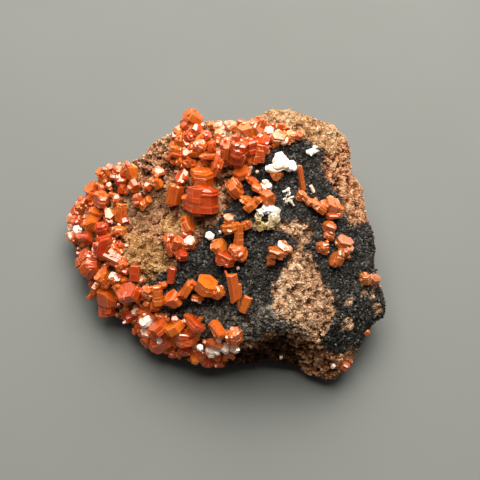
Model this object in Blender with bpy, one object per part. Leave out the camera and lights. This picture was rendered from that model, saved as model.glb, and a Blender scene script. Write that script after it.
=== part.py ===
"""Vanadinite specimen: a lump of brown rock, part coated in black oxide, that carries tabular hexagonal crystals.

Metres, +Z up. The specimen lies on its flat broken underside, whose middle is the origin.
Places on its face are read from one photograph and given as its pixels, x to the right and y down.
Each is laid on the rock along the photograph's sight line, so the face keeps its layout whatever its relief.
"""

from collections import Counter
from itertools import combinations
from math import atan2, cos, pi, radians, sin, tau
from typing import NamedTuple

import bmesh
import bpy
import numpy as np
from mathutils import Matrix, Vector, geometry, noise
from mathutils.bvhtree import BVHTree

MM = 0.001

# The photograph's view of the specimen
PIXEL = 0.2 * MM
PHOTO_MIDDLE = 240
VIEW_ELEVATION = radians(65)
VIEW_DISTANCE = 280 * MM
LOOK_AT = Vector((3 * MM, 2 * MM, 10 * MM))

RIGHT = Vector((1, 0, 0))
UP = Vector((0, sin(VIEW_ELEVATION), cos(VIEW_ELEVATION)))
TOWARDS = Vector((0, -cos(VIEW_ELEVATION), sin(VIEW_ELEVATION)))
EYE = LOOK_AT + VIEW_DISTANCE * TOWARDS

# The rock's outline on its face, clockwise from the left
ROCK_MIDDLE = (235, 240)
ROCK_OUTLINE = (
    (69, 228), (70, 217), (76, 209), (85, 199), (88, 189), (97, 181), (104, 173), (111, 168), (120, 165),
    (128, 160), (140, 157), (150, 149), (153, 141), (168, 132), (180, 122), (190, 117), (205, 121),
    (222, 119), (240, 121), (252, 118), (262, 111), (277, 104), (290, 109), (305, 111), (322, 118),
    (338, 124), (347, 136), (352, 147), (350, 160), (352, 172), (362, 183), (364, 200), (367, 218),
    (374, 231), (376, 248), (373, 264), (380, 277), (384, 294), (389, 309), (380, 320), (369, 330),
    (363, 343), (353, 356), (349, 371), (331, 382), (312, 373), (296, 365), (280, 359), (258, 361),
    (235, 364), (212, 365), (190, 360), (172, 356), (158, 350), (144, 342), (137, 332), (126, 321),
    (110, 312), (99, 303), (93, 290), (88, 277), (79, 267), (79, 254), (73, 244),
)

# Heights of the rock's face above the table, in millimetres, at photograph pixels
RIM_HEIGHTS = (
    (69, 228, 4.5), (85, 199, 6.5), (104, 173, 9.5), (128, 160, 13.5), (150, 149, 18), (180, 122, 21),
    (205, 121, 20.5), (240, 121, 20), (277, 104, 21), (322, 118, 20), (347, 136, 17), (352, 165, 15),
    (364, 200, 13.5), (376, 248, 12), (384, 294, 10), (389, 309, 8.5), (369, 330, 7), (353, 356, 5),
    (331, 382, 2.5), (296, 365, 3), (258, 361, 2.5), (212, 365, 2.5), (190, 360, 3), (158, 350, 3),
    (137, 332, 3.2), (110, 312, 3.4), (93, 290, 3.6), (79, 260, 4),
)
RIDGE_HEIGHTS = (
    (200, 140, 24), (240, 145, 24.5), (275, 135, 24), (310, 135, 22.5), (335, 150, 20), (155, 165, 17.5),
    (200, 165, 21), (240, 175, 21.5), (290, 165, 22), (310, 180, 21.5), (340, 180, 19),
)
HOLLOW_HEIGHTS = (
    (115, 195, 11.5), (130, 210, 12), (155, 205, 14), (175, 215, 16), (130, 235, 13.5), (145, 245, 15),
    (155, 265, 15), (110, 230, 10.5), (105, 260, 9.5), (115, 285, 8.8),
)
TERRACE_HEIGHTS = (
    (205, 205, 20), (230, 215, 21.5), (260, 220, 22), (290, 215, 21.5), (315, 225, 20.5), (200, 255, 17.5),
    (235, 255, 19), (270, 255, 19.5), (300, 255, 20), (180, 285, 14), (215, 290, 15.5), (245, 290, 17),
    (270, 290, 17.5), (300, 290, 19), (330, 300, 16.5), (350, 215, 17.5), (335, 240, 19), (360, 250, 15),
    (345, 270, 16.5), (355, 300, 14), (345, 330, 12.5),
)
LEDGE_HEIGHTS = (
    (200, 299, 14), (200, 311, 12.3), (230, 300, 16), (230, 314, 14.5), (170, 320, 9.8), (200, 325, 11.3),
    (230, 330, 13), (200, 341, 9.8), (222, 343, 11.2), (240, 343, 12.5), (262, 339, 13.8), (280, 330, 15.3),
    (292, 327, 15.8), (304, 331, 15.3), (318, 343, 13.3), (240, 351, 8.5), (262, 347, 9.5), (282, 339, 11),
    (293, 337, 11.5), (303, 341, 11), (314, 352, 9.5), (325, 350, 10.5), (330, 365, 7), (190, 348, 7),
    (212, 353, 6.5),
)
FACE_HEIGHTS = RIM_HEIGHTS + RIDGE_HEIGHTS + HOLLOW_HEIGHTS + TERRACE_HEIGHTS + LEDGE_HEIGHTS

# The rock's mesh: rings over the face, then rings down the flank to the flat underside
ROCK_SEGMENTS = 180
FACE_RINGS = 60
FLANK_RINGS = 18
ROCK_TRIANGLES = 3700
UNDERSIDE_SHARE = 0.74
CALM_POWER = 8

# The rock's creased lumps: how far they reach, how long they are and the level that they vary about
FACE_LUMPS = (1.7 * MM, 7 * MM, 0.35)
FLANK_LUMPS = (4.5 * MM, 11 * MM, 0.6)
LUMP_OCTAVES = 4

# The black coating on the rock's face
CRUST_OUTLINE = (
    (205, 232), (225, 213), (232, 200), (246, 172), (262, 156), (275, 142), (300, 141), (320, 148),
    (326, 164), (325, 179), (336, 187), (345, 205), (347, 225), (368, 223), (376, 240), (374, 268),
    (383, 292), (376, 318), (353, 354), (321, 350), (326, 325), (333, 303), (322, 276), (312, 252),
    (290, 262), (284, 283), (272, 296), (280, 311), (302, 322), (262, 340), (214, 352), (175, 322),
    (160, 285), (186, 262),
)

# A gap is kept between the rock and what grows on it, and tested over each crystal's footprint by probes that
# start that many times its reach above the rock
CONTACT_GAP = 0.3 * MM
SEAT_STEPS = 50
FOOTPRINT_RINGS = 3
FOOTPRINT_SPOKES = 10
FOOTPRINT_SHARE = 0.6
PROBE_RISE = 2
PROBE_DEPTH = 4
SEAT_SHARE = 0.35
LEAST_SLOPE = 0.4
CRYSTAL_SIDES = 6
BLADE_SIDES = 4
SPIN_STEP = 37


class Crystal(NamedTuple):
    """A six-sided crystal: its middle in the photograph, its width across corners and its length in millimetres.

    Turn and facing are the way its long axis points, in degrees: turn round the photograph from the right,
    anticlockwise, and facing out of it. Proud is how much further than others it stands off the rock, in millimetres.
    """

    x: float
    y: float
    width: float
    length: float
    turn: float
    facing: float
    proud: float = 0


CRYSTAL_GROUPS = {
    "ridge_cluster": (
        Crystal(193, 120, 3.8, 3.0, 150, 30, 0.3),
        Crystal(186, 127, 2.4, 1.8, 120, 30),
        Crystal(181, 140, 2.6, 1.8, 150, 40),
        Crystal(179, 131, 2.2, 1.4, 60, 55),
        Crystal(197, 131, 2.6, 1.8, 20, 45),
        Crystal(189, 137, 2.4, 1.6, 100, 20),
        Crystal(175, 152, 2.8, 2.0, 170, 25),
        Crystal(174, 145, 2.2, 0.8, 10, 20),
        Crystal(187, 154, 2.4, 1.6, 85, 62),
        Crystal(194, 153, 2.0, 1.4, 80, 58),
        Crystal(200, 146, 2.8, 2.2, 60, 45),
        Crystal(188, 162, 2.4, 1.6, 130, 30),
        Crystal(180, 161, 2.0, 1.4, 30, 40),
        Crystal(209, 156, 3.4, 1.0, 88, 15, 0.4),
        Crystal(213, 147, 2.6, 1.0, 5, 20, 0.4),
        Crystal(217, 166, 5.0, 1.8, 162, 10, 0.4),
        Crystal(206, 136, 2.8, 1.4, 75, 30),
        Crystal(221, 135, 2.6, 1.8, 110, 35),
        Crystal(227, 152, 3.4, 3.6, 95, 35, 0.8),
        Crystal(239, 153, 4.2, 4.2, 82, 28, 1),
        Crystal(231, 127, 2.6, 1.6, 85, 62),
        Crystal(249, 132, 4.0, 3.0, 115, 38, 0.6),
        Crystal(250, 147, 3.2, 2.4, 100, 20, 0.4),
        Crystal(259, 126, 3.0, 2.4, 85, 25),
        Crystal(263, 143, 3.4, 2.4, 70, 30, 0.4),
        Crystal(260, 154, 2.4, 3.4, 78, 14, 0.6),
        Crystal(269, 132, 2.0, 1.4, 85, 60),
        Crystal(278, 137, 3.6, 1.6, 85, 62, 0.3),
        Crystal(290, 137, 2.6, 1.8, 100, 45),
        Crystal(298, 136, 2.0, 1.4, 60, 30),
        Crystal(241, 123, 2.2, 1.2, 80, 20),
        Crystal(216, 127, 3.6, 1.8, 95, 35),
    ),
    "red_blocks": (
        Crystal(202, 178, 5.2, 2.6, 88, 25, 1),
        Crystal(203, 200, 5.8, 4.6, 86, 12, 0.8),
        Crystal(182, 177, 3.4, 1.2, 140, 30, 0.2),
        Crystal(175, 194, 3.0, 4.0, 75, 20, 0.3),
        Crystal(189, 199, 3.2, 2.4, 120, 40),
        Crystal(197, 209, 3.0, 2.2, -90, 30),
    ),
    "hollow_cluster": (
        Crystal(189, 226, 3.4, 1.4, 30, 25, 0.2),
        Crystal(170, 240, 2.6, 2.0, 150, 40),
        Crystal(180, 244, 3.2, 2.2, 80, 35, 0.2),
        Crystal(190, 243, 2.4, 1.8, 80, 60, 0.2),
        Crystal(183, 255, 2.8, 1.8, -70, 30),
        Crystal(173, 249, 2.6, 1.8, 200, 30),
        Crystal(186, 235, 2.4, 1.6, 85, 58, 0.2),
    ),
    "slope_group": (
        Crystal(148, 187, 2.0, 1.4, 100, 58),
        Crystal(153, 182, 1.8, 1.2, 80, 50),
        Crystal(159, 184, 2.4, 1.6, 20, 35),
    ),
    "slope_plate": (
        Crystal(139, 202, 3.4, 1.0, 10, 15, 0.2),
        Crystal(148, 201, 2.0, 1.4, 80, 55),
        Crystal(143, 206, 2.0, 1.4, 60, 30),
    ),
    "slope_chip": (Crystal(159, 172, 2.4, 0.9, 88, 64),),
    "left_cluster": (
        Crystal(101, 174, 2.8, 2.4, 120, 35, 0.3),
        Crystal(110, 169, 2.0, 1.4, 90, 50),
        Crystal(119, 171, 2.6, 2.0, 70, 45),
        Crystal(131, 172, 3.2, 2.4, 60, 30, 0.2),
        Crystal(122, 181, 2.8, 2.0, 85, 58, 0.3),
        Crystal(134, 186, 2.6, 1.8, -60, 35),
        Crystal(100, 185, 2.0, 1.2, 80, 55),
        Crystal(93, 189, 3.0, 2.0, 130, 35, 0.3),
        Crystal(92, 197, 2.6, 1.8, 160, 30, 0.3),
        Crystal(103, 200, 4.0, 2.6, 80, 30, 0.6),
        Crystal(117, 199, 2.2, 1.6, 85, 60, 0.4),
        Crystal(121, 212, 2.8, 3.4, 85, 15, 0.4),
        Crystal(110, 215, 2.4, 1.6, 85, 62, 0.4),
        Crystal(83, 205, 3.2, 2.2, 130, 40),
        Crystal(76, 212, 2.4, 1.6, 160, 35),
        Crystal(94, 213, 3.4, 2.2, 60, 35, 0.6),
        Crystal(92, 224, 3.6, 2.6, -80, 40, 0.6),
        Crystal(79, 221, 2.8, 1.8, 140, 40),
        Crystal(71, 219, 2.2, 1.4, 170, 30),
        Crystal(69, 227, 2.2, 1.4, 190, 40),
        Crystal(78, 230, 2.4, 1.4, 88, 62),
        Crystal(68, 236, 2.4, 1.6, 200, 30),
        Crystal(77, 238, 2.4, 1.4, -80, 40),
        Crystal(103, 228, 3.0, 2.0, 100, 30, 0.3),
        Crystal(105, 246, 4.0, 2.4, -60, 65, 0.3),
        Crystal(120, 231, 2.9, 1.5, 88, 20, 0.2),
        Crystal(88, 239, 3.2, 1.8, -100, 30),
        Crystal(87, 256, 3.2, 2.2, 150, 40, 0.1),
        Crystal(96, 254, 2.8, 1.8, 80, 58, 0.3),
        Crystal(92, 267, 4.4, 3.0, -100, 45, 0.2),
        Crystal(82, 262, 3.0, 2.0, 180, 30),
        Crystal(118, 261, 2.4, 3.8, -32, 14, 0.3),
        Crystal(116, 248, 2.2, 0.8, 40, 30, 0.2),
        Crystal(122, 265, 2.6, 1.8, -60, 40),
        Crystal(106, 277, 3.8, 2.8, 130, 35, 0.4),
        Crystal(115, 279, 2.4, 1.6, 85, 60, 0.6),
        Crystal(119, 287, 2.4, 1.4, -50, 40, 0.2),
        Crystal(135, 273, 2.2, 3.0, 85, 15),
        Crystal(97, 289, 4.0, 1.2, -28, 12, 0.2),
        Crystal(108, 297, 4.2, 2.8, 95, 25, 0.3),
        Crystal(109, 307, 4.2, 3.2, 92, 12),
        Crystal(129, 293, 5.0, 2.0, 140, 40, 0.6),
        Crystal(147, 292, 2.6, 1.8, 70, 40),
        Crystal(158, 295, 2.4, 4.0, 95, 20, 0.1),
        Crystal(164, 285, 1.6, 1.2, 60, 50),
        Crystal(174, 299, 3.6, 2.4, 135, 30, 0.2),
        Crystal(186, 289, 4.0, 1.3, 150, 15, 0.2),
    ),
    "lower_cluster": (
        Crystal(129, 316, 2.8, 2.0, 200, 20),
        Crystal(136, 311, 2.0, 1.0, 85, 55),
        Crystal(143, 313, 2.6, 1.6, 120, 30),
        Crystal(147, 320, 3.0, 1.6, 88, 64, 0.3),
        Crystal(147, 331, 2.4, 1.4, 85, 60, 0.2),
        Crystal(159, 326, 4.8, 1.8, 132, 20, 0.4),
        Crystal(174, 327, 4.6, 1.6, 122, 15, 0.2),
        Crystal(195, 323, 4.6, 1.4, 50, 15),
        Crystal(185, 338, 4.5, 2.4, 92, 20, 0.2),
        Crystal(159, 345, 3.4, 2.4, -80, 45, 0.2),
        Crystal(147, 340, 2.8, 1.8, -120, 30),
        Crystal(168, 341, 2.6, 1.6, 60, 30),
        Crystal(185, 350, 2.8, 2.0, -90, 20),
        Crystal(172, 353, 1.8, 1.6, -90, 20),
        Crystal(199, 355, 2.8, 2.0, -60, 40),
        Crystal(207, 361, 2.6, 2.0, -100, 35),
        Crystal(211, 350, 2.4, 1.6, 85, 60, 0.2),
        Crystal(219, 362, 2.4, 1.6, -90, 20),
        Crystal(142, 326, 2.6, 1.6, 170, 20),
    ),
    "small_prism": (Crystal(172, 275, 1.9, 3.2, 80, 20),),
    "broad_crystal": (
        Crystal(206, 286, 4.6, 2.4, 65, 35, 0.3),
        Crystal(218, 292, 3.2, 2.2, 35, 30, 0.1),
        Crystal(198, 297, 2.6, 0.8, 85, 20),
    ),
    "standing_tablet": (Crystal(234, 288, 2.4, 5.4, 99, 12, 0.2),),
    "small_tablet": (Crystal(245, 304, 1.8, 3.3, 68, 12),),
    "lower_pair": (
        Crystal(218, 330, 2.6, 4.0, -50, 20, 0.1),
        Crystal(235, 336, 3.6, 2.4, 100, 35, 0.2),
    ),
    "lip_group": (
        Crystal(225, 348, 2.0, 1.4, 85, 60),
        Crystal(235, 349, 2.0, 1.0, 85, 50),
        Crystal(229, 353, 2.2, 1.4, -80, 30),
    ),
    "mirror_chip": (Crystal(210, 236, 1.8, 0.9, 88, 64),),
    "tee_group": (
        Crystal(229, 220, 2.4, 1.8, 90, 50),
        Crystal(231, 228, 4.0, 1.5, 100, 15, 0.3),
        Crystal(246, 225, 2.8, 1.3, 115, 15, 0.2),
        Crystal(239, 236, 2.1, 4.8, 88, 12, 0.3),
        Crystal(220, 246, 3.4, 1.9, 20, 30),
        Crystal(236, 249, 3.0, 1.5, 80, 35, 0.5),
        Crystal(241, 254, 3.6, 1.8, 120, 25, 0.3),
        Crystal(226, 258, 4.4, 1.9, 70, 25, 0.1),
    ),
    "ring_group": (
        Crystal(242, 173, 3.6, 1.4, 90, 65, 0.2),
        Crystal(235, 189, 4.4, 1.9, 35, 20, 0.3),
        Crystal(247, 200, 3.0, 1.0, 70, 20, 0.3),
        Crystal(252, 181, 2.8, 1.0, 60, 25, 0.3),
        Crystal(257, 188, 2.8, 1.0, 80, 30, 0.3),
        Crystal(266, 187, 2.6, 1.4, 85, 60, 0.4),
        Crystal(267, 199, 3.0, 2.4, -40, 45, 0.2),
        Crystal(253, 204, 3.8, 1.2, 130, 15, 0.2),
    ),
    "white_plate": (
        Crystal(281, 161, 3.2, 1.2, 88, 64, 0.7),
        Crystal(289, 167, 2.8, 1.0, 75, 60, 0.6),
        Crystal(275, 171, 2.6, 1.0, 95, 60, 0.4),
        Crystal(276, 175, 2.6, 1.6, -60, 50, 0.1),
    ),
    "bar_group": (
        Crystal(301, 178, 1.3, 5.0, 100, 12, 0.3),
        Crystal(301, 196, 2.6, 1.6, 60, 35, 0.1),
        Crystal(309, 201, 2.8, 1.2, 50, 30, 0.2),
        Crystal(319, 207, 3.8, 1.4, 50, 15, 0.3),
        Crystal(332, 205, 3.8, 2.0, 60, 60, 0.4),
        Crystal(333, 216, 3.4, 1.0, 88, 20, 0.2),
        Crystal(329, 227, 2.9, 1.8, 70, 35, 0.1),
        Crystal(329, 236, 2.4, 1.0, 60, 25),
    ),
    "amber_crystal": (Crystal(322, 247, 2.6, 1.8, 95, 30),),
    "curved_pair": (
        Crystal(344, 243, 3.6, 1.6, 70, 60, 0.1),
        Crystal(344, 253, 2.6, 1.6, -60, 30),
        Crystal(335, 260, 3.6, 1.5, 150, 35),
    ),
    "butterfly_group": (
        Crystal(283, 247, 2.8, 1.4, 70, 58, 0.2),
        Crystal(277, 252, 4.0, 1.3, 80, 20, 0.2),
        Crystal(271, 261, 2.4, 1.2, 175, 20),
    ),
    "right_edge_pair": (
        Crystal(365, 279, 2.6, 1.8, 100, 30),
        Crystal(374, 279, 2.6, 1.6, 60, 40),
    ),
    "right_edge_chip": (Crystal(370, 334, 1.6, 1.0, 60, 30),),
    "tip_crystal": (Crystal(345, 365, 2.0, 1.4, 60, 40),),
}

# Pale barite blades: thin four-sided plates
BLADE_GROUPS = {
    "pale_blade": (
        Crystal(309, 154, 2.6, 0.9, 120, 55),
        Crystal(313, 149, 1.9, 0.8, 130, 45),
    ),
    "pale_ring": (
        Crystal(264, 214, 1.8, 1.0, 100, 50),
        Crystal(271, 214, 2.0, 1.0, 80, 55),
        Crystal(276, 219, 1.8, 1.0, 40, 50),
        Crystal(273, 225, 2.2, 1.0, -30, 45),
        Crystal(266, 228, 2.0, 1.0, -80, 45),
        Crystal(259, 226, 2.2, 1.0, -140, 45),
        Crystal(258, 219, 1.8, 1.0, 170, 45),
    ),
    "pale_fan": (
        Crystal(288, 192, 2.0, 0.6, 20, 20),
        Crystal(288, 198, 1.8, 0.6, -30, 25),
        Crystal(289, 203, 1.8, 0.6, 60, 40),
    ),
}


def on_sight_line(x, y, height):
    """The point of a photograph pixel's sight line that lies that height above the table."""
    aim = LOOK_AT + (x - PHOTO_MIDDLE) * PIXEL * RIGHT + (PHOTO_MIDDLE - y) * PIXEL * UP
    line = aim - EYE
    return EYE + line * ((height - EYE.z) / line.z)


def photo_pixel(point):
    """The photograph pixel in which a point shows."""
    line = point - EYE
    depth = VIEW_DISTANCE / -line.dot(TOWARDS)
    across = (EYE + line * depth - LOOK_AT) / PIXEL
    return PHOTO_MIDDLE + across.dot(RIGHT), PHOTO_MIDDLE - across.dot(UP)


def fit_face_heights():
    """A function that gives the face's height in metres at a pixel: a smooth sheet through every stated height."""
    stated = np.array(FACE_HEIGHTS, float)
    places, heights = stated[:, :2], stated[:, 2] * MM
    count = len(stated)
    system = np.ones((count + 1, count + 1))
    system[:count, :count] = np.linalg.norm(places[:, None] - places[None], axis=2)
    system[count, count] = 0
    weights = np.linalg.solve(system, np.append(heights, 0))

    def height_at(x, y):
        reach = np.linalg.norm(places - (x, y), axis=1)
        return float(reach @ weights[:count] + weights[count])

    return height_at


def outline_reach(angle):
    """Pixels from the rock's middle to its outline, in a direction turned by that angle, x right and y down."""
    along = np.array((cos(angle), sin(angle)))
    across = np.array((-along[1], along[0]))
    corners = np.array(ROCK_OUTLINE, float) - ROCK_MIDDLE
    best = 0.0
    for start, end in zip(corners, np.roll(corners, -1, axis=0)):
        side_start, side_end = start @ across, end @ across
        if side_start * side_end <= 0 and side_start != side_end:
            share = side_start / (side_start - side_end)
            best = max(best, float((start + share * (end - start)) @ along))
    return best


def lump(point, lumps):
    """How far the rock's creased lumps lift its surface at a point, in metres."""
    height, length, level = lumps
    return height * (noise.turbulence(point / length, LUMP_OCTAVES, True) - level)


def face_point(x, y, height_at, calm):
    """A point of the rock's face at a pixel, whose lumps are calmed by a share from 0 to 1."""
    place = on_sight_line(x, y, height_at(x, y))
    return place + TOWARDS * lump(place, FACE_LUMPS) * (1 - calm)


def flank_point(rim, share):
    """A point below the rim, at this share of the way round a quarter ellipse to the flat underside."""
    turn = share * pi / 2
    spread = UNDERSIDE_SHARE + (1 - UNDERSIDE_SHARE) * cos(turn)
    place = Vector((rim.x * spread, rim.y * spread, rim.z * (1 - sin(turn))))
    outward = Vector((rim.x, rim.y, 0)).normalized()
    return place + outward * min(0, lump(place, FLANK_LUMPS)) * sin(turn) ** 0.5


def make_material(name, colour, roughness, metallic=0.0):
    material = bpy.data.materials.new(name)
    material.use_nodes = True
    shader = material.node_tree.nodes["Principled BSDF"]
    shader.inputs["Base Color"].default_value = (*colour, 1)
    shader.inputs["Roughness"].default_value = roughness
    shader.inputs["Metallic"].default_value = metallic
    return material


def inside_outline(x, y, outline):
    """Whether a pixel lies inside a closed outline of pixels."""
    inside = False
    for (x1, y1), (x2, y2) in zip(outline, outline[1:] + outline[:1]):
        if (y1 > y) != (y2 > y) and x < x1 + (y - y1) * (x2 - x1) / (y2 - y1):
            inside = not inside
    return inside


def make_rock(collection, rock_material, crust_material):
    """The rock: a sphere whose upper rings are laid over the face and whose lower rings close the flank."""
    height_at = fit_face_heights()
    reaches = [outline_reach(tau * step / ROCK_SEGMENTS) for step in range(ROCK_SEGMENTS)]
    rings = FACE_RINGS + FLANK_RINGS + 1
    shape = bmesh.new()
    bmesh.ops.create_uvsphere(shape, u_segments=ROCK_SEGMENTS, v_segments=rings, radius=1)
    for vertex in shape.verts:
        x, y, z = vertex.co
        ring = round(atan2((x * x + y * y) ** 0.5, z) / pi * rings)
        angle = -atan2(y, x)
        inward = min(1, ring / FACE_RINGS)
        reach = inward * reaches[round(angle / tau * ROCK_SEGMENTS) % ROCK_SEGMENTS]
        pixel = (ROCK_MIDDLE[0] + reach * cos(angle), ROCK_MIDDLE[1] + reach * sin(angle))
        place = face_point(*pixel, height_at, inward**CALM_POWER)
        if ring > FACE_RINGS:
            place = flank_point(place, (ring - FACE_RINGS) / FLANK_RINGS)
        vertex.co = place if ring < rings else Vector((0, 0, 0))
    mesh = bpy.data.meshes.new("rock")
    shape.to_mesh(mesh)
    shape.free()
    rock = bpy.data.objects.new("rock", mesh)
    collection.objects.link(rock)
    thin = rock.modifiers.new("thin", "DECIMATE")
    thin.ratio = ROCK_TRIANGLES / sum(len(face.vertices) - 2 for face in mesh.polygons)
    graph = bpy.context.evaluated_depsgraph_get()
    rock.data = bpy.data.meshes.new_from_object(rock.evaluated_get(graph))
    rock.modifiers.clear()
    rock.data.materials.append(rock_material)
    rock.data.materials.append(crust_material)
    for face in rock.data.polygons:
        if face.normal.dot(TOWARDS) > 0 and inside_outline(*photo_pixel(face.center), CRUST_OUTLINE):
            face.material_index = 1
    return rock


def seat_on_rock(crystal, rock_tree):
    """Where a crystal's sight line meets the rock, or as near its pixel as one does towards the rock's middle."""
    for step in range(SEAT_STEPS):
        share = step / SEAT_STEPS
        x = crystal.x + (ROCK_MIDDLE[0] - crystal.x) * share
        y = crystal.y + (ROCK_MIDDLE[1] - crystal.y) * share
        spot = rock_tree.ray_cast(EYE, on_sight_line(x, y, 0) - EYE)[0]
        if spot is not None:
            return spot
    raise ValueError(f"the crystal at {crystal.x}, {crystal.y} has no rock to grow on")


def resting_plane(crystal, spot, rock_tree):
    """A plane along the rock that clears it by the gap all over a crystal's footprint: a point and its normal."""
    reach = FOOTPRINT_SHARE * max(crystal.width, crystal.length) * MM
    angles = [tau * step / FOOTPRINT_SPOKES for step in range(FOOTPRINT_SPOKES)]
    around = [spot + reach * (cos(angle) * RIGHT + sin(angle) * UP) for angle in angles]
    normal = geometry.normal([rock_tree.find_nearest(point)[0] for point in around])
    side = normal.orthogonal().normalized()
    other = normal.cross(side)
    rises = [0.0]
    for ring in range(1, FOOTPRINT_RINGS + 1):
        for angle in angles:
            offset = reach * ring / FOOTPRINT_RINGS * (cos(angle) * side + sin(angle) * other)
            above = spot + offset + PROBE_RISE * reach * normal
            below = rock_tree.ray_cast(above, -normal, PROBE_DEPTH * reach)[0]
            if below is not None:
                rises.append((below - spot).dot(normal))
    return spot + (max(rises) + CONTACT_GAP) * normal, normal


def crystal_axis(crystal):
    """The way a crystal's long axis points."""
    turn, facing = radians(crystal.turn), radians(crystal.facing)
    return cos(facing) * (cos(turn) * RIGHT + sin(turn) * UP) + sin(facing) * TOWARDS


def crystal_middle(crystal, spot, plane, normal):
    """A crystal's middle: on its sight line, high enough for most of it to stand clear of the plane on the rock."""
    lean = abs(crystal_axis(crystal).dot(normal))
    half_depth = (lean * crystal.length + (1 - lean**2) ** 0.5 * crystal.width) / 2 * MM
    wanted = SEAT_SHARE * half_depth - (spot - plane).dot(normal)
    return spot + TOWARDS * (max(0, wanted) / max(normal.dot(TOWARDS), LEAST_SLOPE) + crystal.proud * MM)


def crystal_shape(crystal, sides, rock_tree):
    """A crystal as a bmesh, cut off flat a little above the rock, with a spin that differs from one to the next."""
    spot = seat_on_rock(crystal, rock_tree)
    plane, normal = resting_plane(crystal, spot, rock_tree)
    middle = crystal_middle(crystal, spot, plane, normal)
    turned = crystal_axis(crystal).to_track_quat("Z", "Y").to_matrix().to_4x4()
    spin = Matrix.Rotation(radians(SPIN_STEP * (crystal.x + crystal.y)), 4, "Z")
    shape = bmesh.new()
    bmesh.ops.create_cone(
        shape,
        cap_ends=True,
        segments=sides,
        radius1=crystal.width / 2 * MM,
        radius2=crystal.width / 2 * MM,
        depth=crystal.length * MM,
        matrix=Matrix.Translation(middle) @ turned @ spin,
    )
    everything = shape.verts[:] + shape.edges[:] + shape.faces[:]
    cut = bmesh.ops.bisect_plane(shape, geom=everything, plane_co=plane, plane_no=normal, clear_inner=True)
    rim = [part for part in cut["geom_cut"] if isinstance(part, bmesh.types.BMEdge)]
    if rim:
        bmesh.ops.contextual_create(shape, geom=rim)
    bmesh.ops.recalc_face_normals(shape, faces=shape.faces)
    return shape


def touching_sets(shapes):
    """The shapes' numbers in sets, each of shapes that overlap one another directly or through others."""
    trees = [BVHTree.FromBMesh(shape) for shape in shapes]
    set_of = list(range(len(shapes)))
    for first, second in combinations(range(len(shapes)), 2):
        if set_of[first] != set_of[second] and trees[first].overlap(trees[second]):
            kept, lost = sorted((set_of[first], set_of[second]))
            set_of = [kept if number == lost else number for number in set_of]
    return [[n for n, number in enumerate(set_of) if number == kept] for kept in sorted(set(set_of))]


def object_of(shapes, name, collection):
    """A new object that holds these shapes side by side."""
    mesh = bpy.data.meshes.new(name)
    gathered = bmesh.new()
    for shape in shapes:
        shape.to_mesh(mesh)
        gathered.from_mesh(mesh)
    gathered.to_mesh(mesh)
    gathered.free()
    made = bpy.data.objects.new(name, mesh)
    collection.objects.link(made)
    return made


def joined_object(shapes, name, collection):
    """One solid made of shapes that overlap."""
    whole = object_of(shapes[:-1] or shapes, name, collection)
    if len(shapes) > 1:
        added = object_of(shapes[-1:], "added", collection)
        join = whole.modifiers.new("join", "BOOLEAN")
        join.operation = "UNION"
        join.object = added
        join.use_self = True
        graph = bpy.context.evaluated_depsgraph_get()
        whole.data = bpy.data.meshes.new_from_object(whole.evaluated_get(graph))
        whole.modifiers.clear()
        bpy.data.objects.remove(added)
    return whole


def make_crystals(groups, sides, rock_tree, collection, material):
    """One object for each set of crystals grown together, named for the group of most of its crystals."""
    crystals = [(name, crystal) for name, members in groups.items() for crystal in members]
    shapes = [crystal_shape(crystal, sides, rock_tree) for _, crystal in crystals]
    taken = Counter()
    for members in touching_sets(shapes):
        name = Counter(crystals[number][0] for number in members).most_common(1)[0][0]
        taken[name] += 1
        label = name if taken[name] == 1 else f"{name}_{taken[name]}"
        grown = joined_object([shapes[number] for number in members], label, collection)
        grown.data.materials.clear()
        grown.data.materials.append(material)


def main():
    for old in list(bpy.data.objects):
        bpy.data.objects.remove(old)
    specimen = bpy.data.collections.new("vanadinite_specimen")
    bpy.context.scene.collection.children.link(specimen)
    rock_brown = make_material("rock_brown", (0.42, 0.25, 0.13), 0.9)
    oxide_black = make_material("oxide_black", (0.02, 0.022, 0.022), 0.7)
    vanadinite_red = make_material("vanadinite_red", (0.72, 0.12, 0.02), 0.15)
    barite_cream = make_material("barite_cream", (0.8, 0.74, 0.6), 0.4)
    rock = make_rock(specimen, rock_brown, oxide_black)
    rock_tree = BVHTree.FromPolygons(
        [vertex.co for vertex in rock.data.vertices], [face.vertices for face in rock.data.polygons]
    )
    make_crystals(CRYSTAL_GROUPS, CRYSTAL_SIDES, rock_tree, specimen, vanadinite_red)
    make_crystals(BLADE_GROUPS, BLADE_SIDES, rock_tree, specimen, barite_cream)


main()
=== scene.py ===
"""Vanadinite specimen: the finish of its rock, its crystals and its pale blades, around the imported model.

Metres, +Z up. Places on the specimen's face are pixels of its photograph, x to the right and y down, and each
is laid on the rock along the photograph's sight line.
"""

from functools import partial
from math import asin, atan2, cos, degrees, dist, radians, sin, tau
from typing import NamedTuple

import bmesh
import bpy
import numpy as np
from bpy.props import FloatProperty, FloatVectorProperty, IntProperty, PointerProperty
from mathutils import Euler, Matrix, Vector, geometry, noise
from mathutils.bvhtree import BVHTree


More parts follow.
